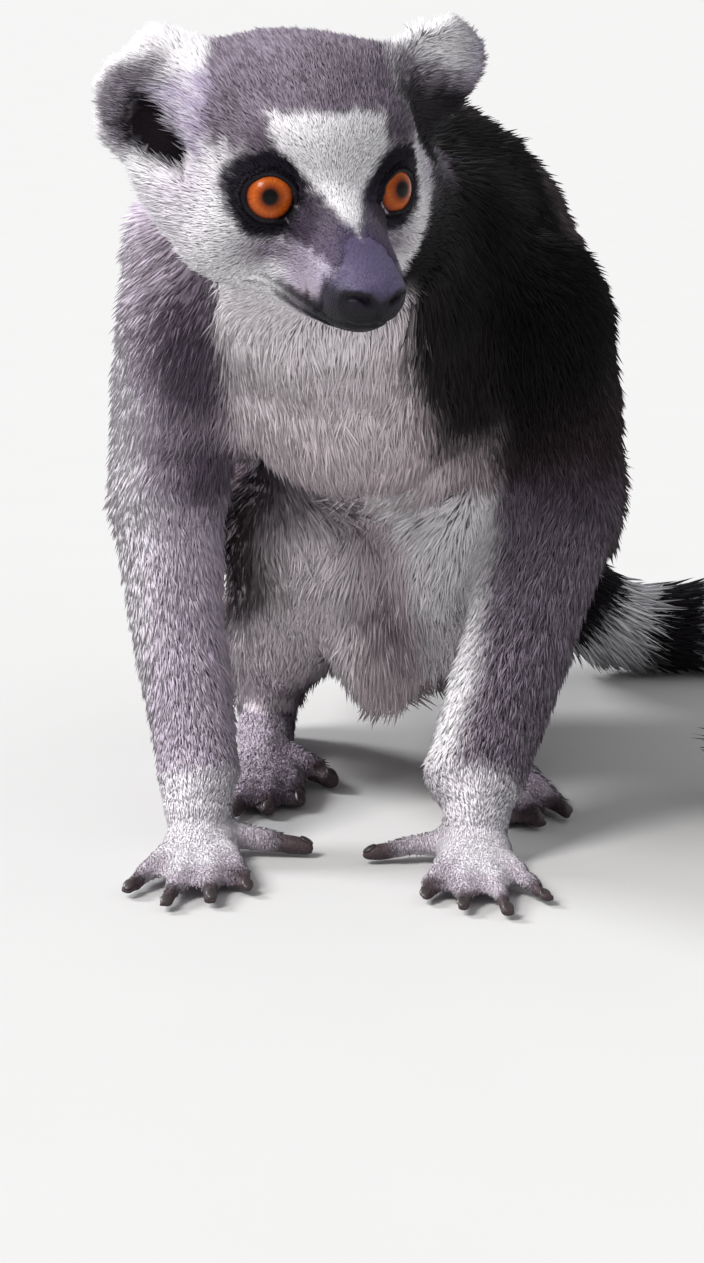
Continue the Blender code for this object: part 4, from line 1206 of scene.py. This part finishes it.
# Eyes and nails.
def eyeMaterial():
    material, board, shader = newMaterial("amber eye", {
        "Roughness": 0.28, "Specular IOR Level": 0.1, "Coat Weight": 0.4, "Coat Roughness": 0.03,
        "Coat IOR": 1.25,
    })
    streaks = board.noise(board.scaled(board.stored("irisWay", "Vector"), 9.0), 1.6, 5.0, Roughness=0.7)
    ramped = board.add("ShaderNodeValToRGB")
    board.feed(ramped, 0, board.maths("DIVIDE", board.stored("irisAngle"), eyeMakings["irisEdge"]))
    stops = ramped.color_ramp.elements
    while len(stops) < len(eyeMakings["iris"]):
        stops.new(0.5)
    for stop, (position, colour) in zip(stops, eyeMakings["iris"]):
        stop.position = position
        stop.color = (*colour, 1)
    tone = board.ranged(streaks.outputs[0], 0.62, 1.3, 0.3, 0.7)
    board.feed(shader, "Base Color", board.scaled(ramped.outputs[0], tone))
    return material

def makeEye(side, material):
    name = "eye" + sideNames[side].capitalize()
    gaze = facing(side, *face["gaze"])
    across = unit(np.cross(gaze, np.array((0, 0, 1.0))))
    upward = np.cross(across, gaze)
    points, angles, ways = [], [], []
    edge, proud = eyeMakings["cornea"]
    rings, spokes = eyeMakings["rings"], eyeMakings["spokes"]
    for ring in range(rings + 1):
        angle = 180 * (ring / rings) ** 1.25
        radius = pose["eyeRadius"] - 0.05 + proud * max(0.0, 1 - (angle / edge) ** 2)
        for spoke in range(spokes if 0 < ring < rings else 1):
            turn = 2 * math.pi * spoke / spokes
            off = across * math.cos(turn) + upward * math.sin(turn)
            place = gaze * math.cos(math.radians(angle)) + off * math.sin(math.radians(angle))
            points.append(eyeCentre(side) + place * radius)
            angles.append(angle)
            ways.append((math.cos(turn), math.sin(turn), angle * 0.006))
    faces = []
    last = len(points) - 1
    for spoke in range(spokes):
        after = (spoke + 1) % spokes
        faces.append((0, 1 + spoke, 1 + after))
        faces.append((last, last - spokes + after, last - spokes + spoke))
    for ring in range(rings - 2):
        base = 1 + ring * spokes
        for spoke in range(spokes):
            after = (spoke + 1) % spokes
            faces.append((base + spoke, base + spokes + spoke, base + spokes + after, base + after))
    mesh = meshOf(name, fromHead(points), faces)
    faceOutwards(mesh)
    store(mesh, "irisAngle", "FLOAT", angles)
    store(mesh, "irisWay", "FLOAT_VECTOR", ways)
    mesh.materials.append(material)
    piece = pieceOf(name, mesh)
    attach(piece, "root")
    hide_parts("eye_" + sideNames[side])

def nailMaterial():
    material, board, shader = newMaterial("dark horn", {"Roughness": 0.38})
    grain = board.noise(objectPlace(board), 1400.0, 2.0).outputs[0]
    board.feed(shader, "Base Color", board.mixed(grain, (*tint("nail") * 0.7, 1), (*tint("nail") * 1.4, 1)))
    return material

nails = {  # half length, half width and half thickness, and the grooming claw of each second toe
    "size": (2.3, 1.7, 0.6),
    "claw": (3.2, 1.2, 0.9),
    "back": 1.9,  # from the end of the digit
    "sunk": 0.25,
    "slope": 30,  # degrees
    "floor": 0.1,
    "reach": (14, 12),  # how far beyond and above a digit its end and its top are looked for from
}

def makeNails(skin):
    shape = bmesh.new()
    tree = BVHTree.FromPolygons([v.co for v in skin.vertices], [tuple(f.vertices) for f in skin.polygons])
    down = Vector((0, 0, -1))
    beyond, above = nails["reach"]
    for kind in ("hand", "foot"):
        for side in (-1, 1):
            for number, (root, tip) in enumerate(digitLines(kind, side)):
                way = tip - root
                turn = math.atan2(way[0], -way[1])
                size = nails["claw"] if kind == "foot" and number == 1 else nails["size"]
                length, width, thickness = (v * mm for v in size)
                flat = Vector((math.sin(turn), -math.cos(turn), 0))
                end = tree.ray_cast(Vector(fromBody(tip + np.array(flat) * beyond)), -flat)[0]
                top = tree.ray_cast(end - flat * nails["back"] * mm - down * above * mm, down)[0]
                place = Matrix.Translation(top + down * nails["sunk"] * mm)
                lean = Matrix.Rotation(turn, 4, "Z") @ Matrix.Rotation(math.radians(nails["slope"]), 4, "X")
                matrix = place @ lean @ Matrix.Diagonal((width, length, thickness, 1))
                bmesh.ops.create_uvsphere(shape, u_segments=14, v_segments=10, radius=1, matrix=matrix)
    for point in shape.verts:
        point.co.z = max(point.co.z, nails["floor"] * mm)
    mesh = bpy.data.meshes.new("nails")
    shape.to_mesh(mesh)
    shape.free()
    mesh.shade_smooth()
    mesh.materials.append(nailMaterial())
    piece = pieceOf("nails", mesh)
    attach(piece, "root")

studio = {
    "camera": (0, -1050, 293),
    "tilt": 78,  # degrees from looking straight down
    "lens": 182.60795,
    "sensor": 36,
    "floor": (0.56, 0.556, 0.55),
    "floorHalf": 90000,
    "floorDrop": 0.2,  # under the soles
    "sky": 0.6,
    "skyColour": (0.93, 0.94, 0.96, 1),
    "suns": {  # where each shines from, its strength, its width in degrees and its colour
        "keyLight": ((-900, -800, 1300), 2.85, 20, (1.0, 0.985, 0.97)),
        "rimLight": ((-1000, 500, 800), 2.4, 16, (0.97, 0.98, 1.0)),
    },
}

# Floor, light and camera.
def makeStudio():
    scene = bpy.context.scene
    data = bpy.data.cameras.new("camera")
    camera = bpy.data.objects.new("camera", data)
    scene.collection.objects.link(camera)
    camera.location = fromBody(studio["camera"])
    camera.rotation_euler = (math.radians(studio["tilt"]), 0, 0)
    data.sensor_fit = "HORIZONTAL"
    data.sensor_width = studio["sensor"]
    data.lens = studio["lens"]
    data.clip_start = 0.01
    bpy.context.scene.camera = camera
    for name, (place, strength, width, colour) in studio["suns"].items():
        data = bpy.data.lights.new(name, "SUN")
        data.energy = strength
        data.angle = math.radians(width)
        data.color = colour
        light = bpy.data.objects.new(name, data)
        scene.collection.objects.link(light)
        light.rotation_euler = (-Vector(place)).to_track_quat("-Z", "Y").to_euler()
    world = bpy.data.worlds.new("paleRoom")
    world.use_nodes = True
    ground = world.node_tree.nodes["Background"]
    ground.inputs["Color"].default_value = studio["skyColour"]
    ground.inputs["Strength"].default_value = studio["sky"]
    scene.world = world
    scene.view_settings.view_transform = "Standard"
    half, low = studio["floorHalf"], -studio["floorDrop"]
    corners = [(-half, -half, low), (half, -half, low), (half, half, low), (-half, half, low)]
    floor = pieceOf("floor", meshOf("floor", fromBody(corners), [(0, 1, 2, 3)]))
    material, board, shader = newMaterial("pale floor", {"Roughness": 0.85})
    grain = board.noise(objectPlace(board), 14.0, 3.0).outputs[0]
    dim = (*[c * 0.97 for c in studio["floor"]], 1)
    board.feed(shader, "Base Color", board.mixed(grain, dim, (*studio["floor"], 1)))
    floor.data.materials.append(material)

def main():
    makeStudio()
    parts = modelledParts()
    skin = pieceOf("skin", makeSkinMesh(parts))
    finishSkin(skin.data, parts)
    skin.data.shade_smooth()
    unwrapSkin(skin)
    coat = layCoat(skin, markSkin(skin.data, parts), coatMaterial())
    skin.data.materials.append(skinMaterial())
    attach(skin, "root")
    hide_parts(*fleshNodes)
    for piece in coat:
        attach(piece, "root")
    amber = eyeMaterial()
    for side in (-1, 1):
        makeEye(side, amber)
    print("eyes: made")
    makeNails(skin.data)
    print("nails: made")
    print("coat:", sum(len(piece.data.polygons) for piece in coat), "triangles in all")

main()
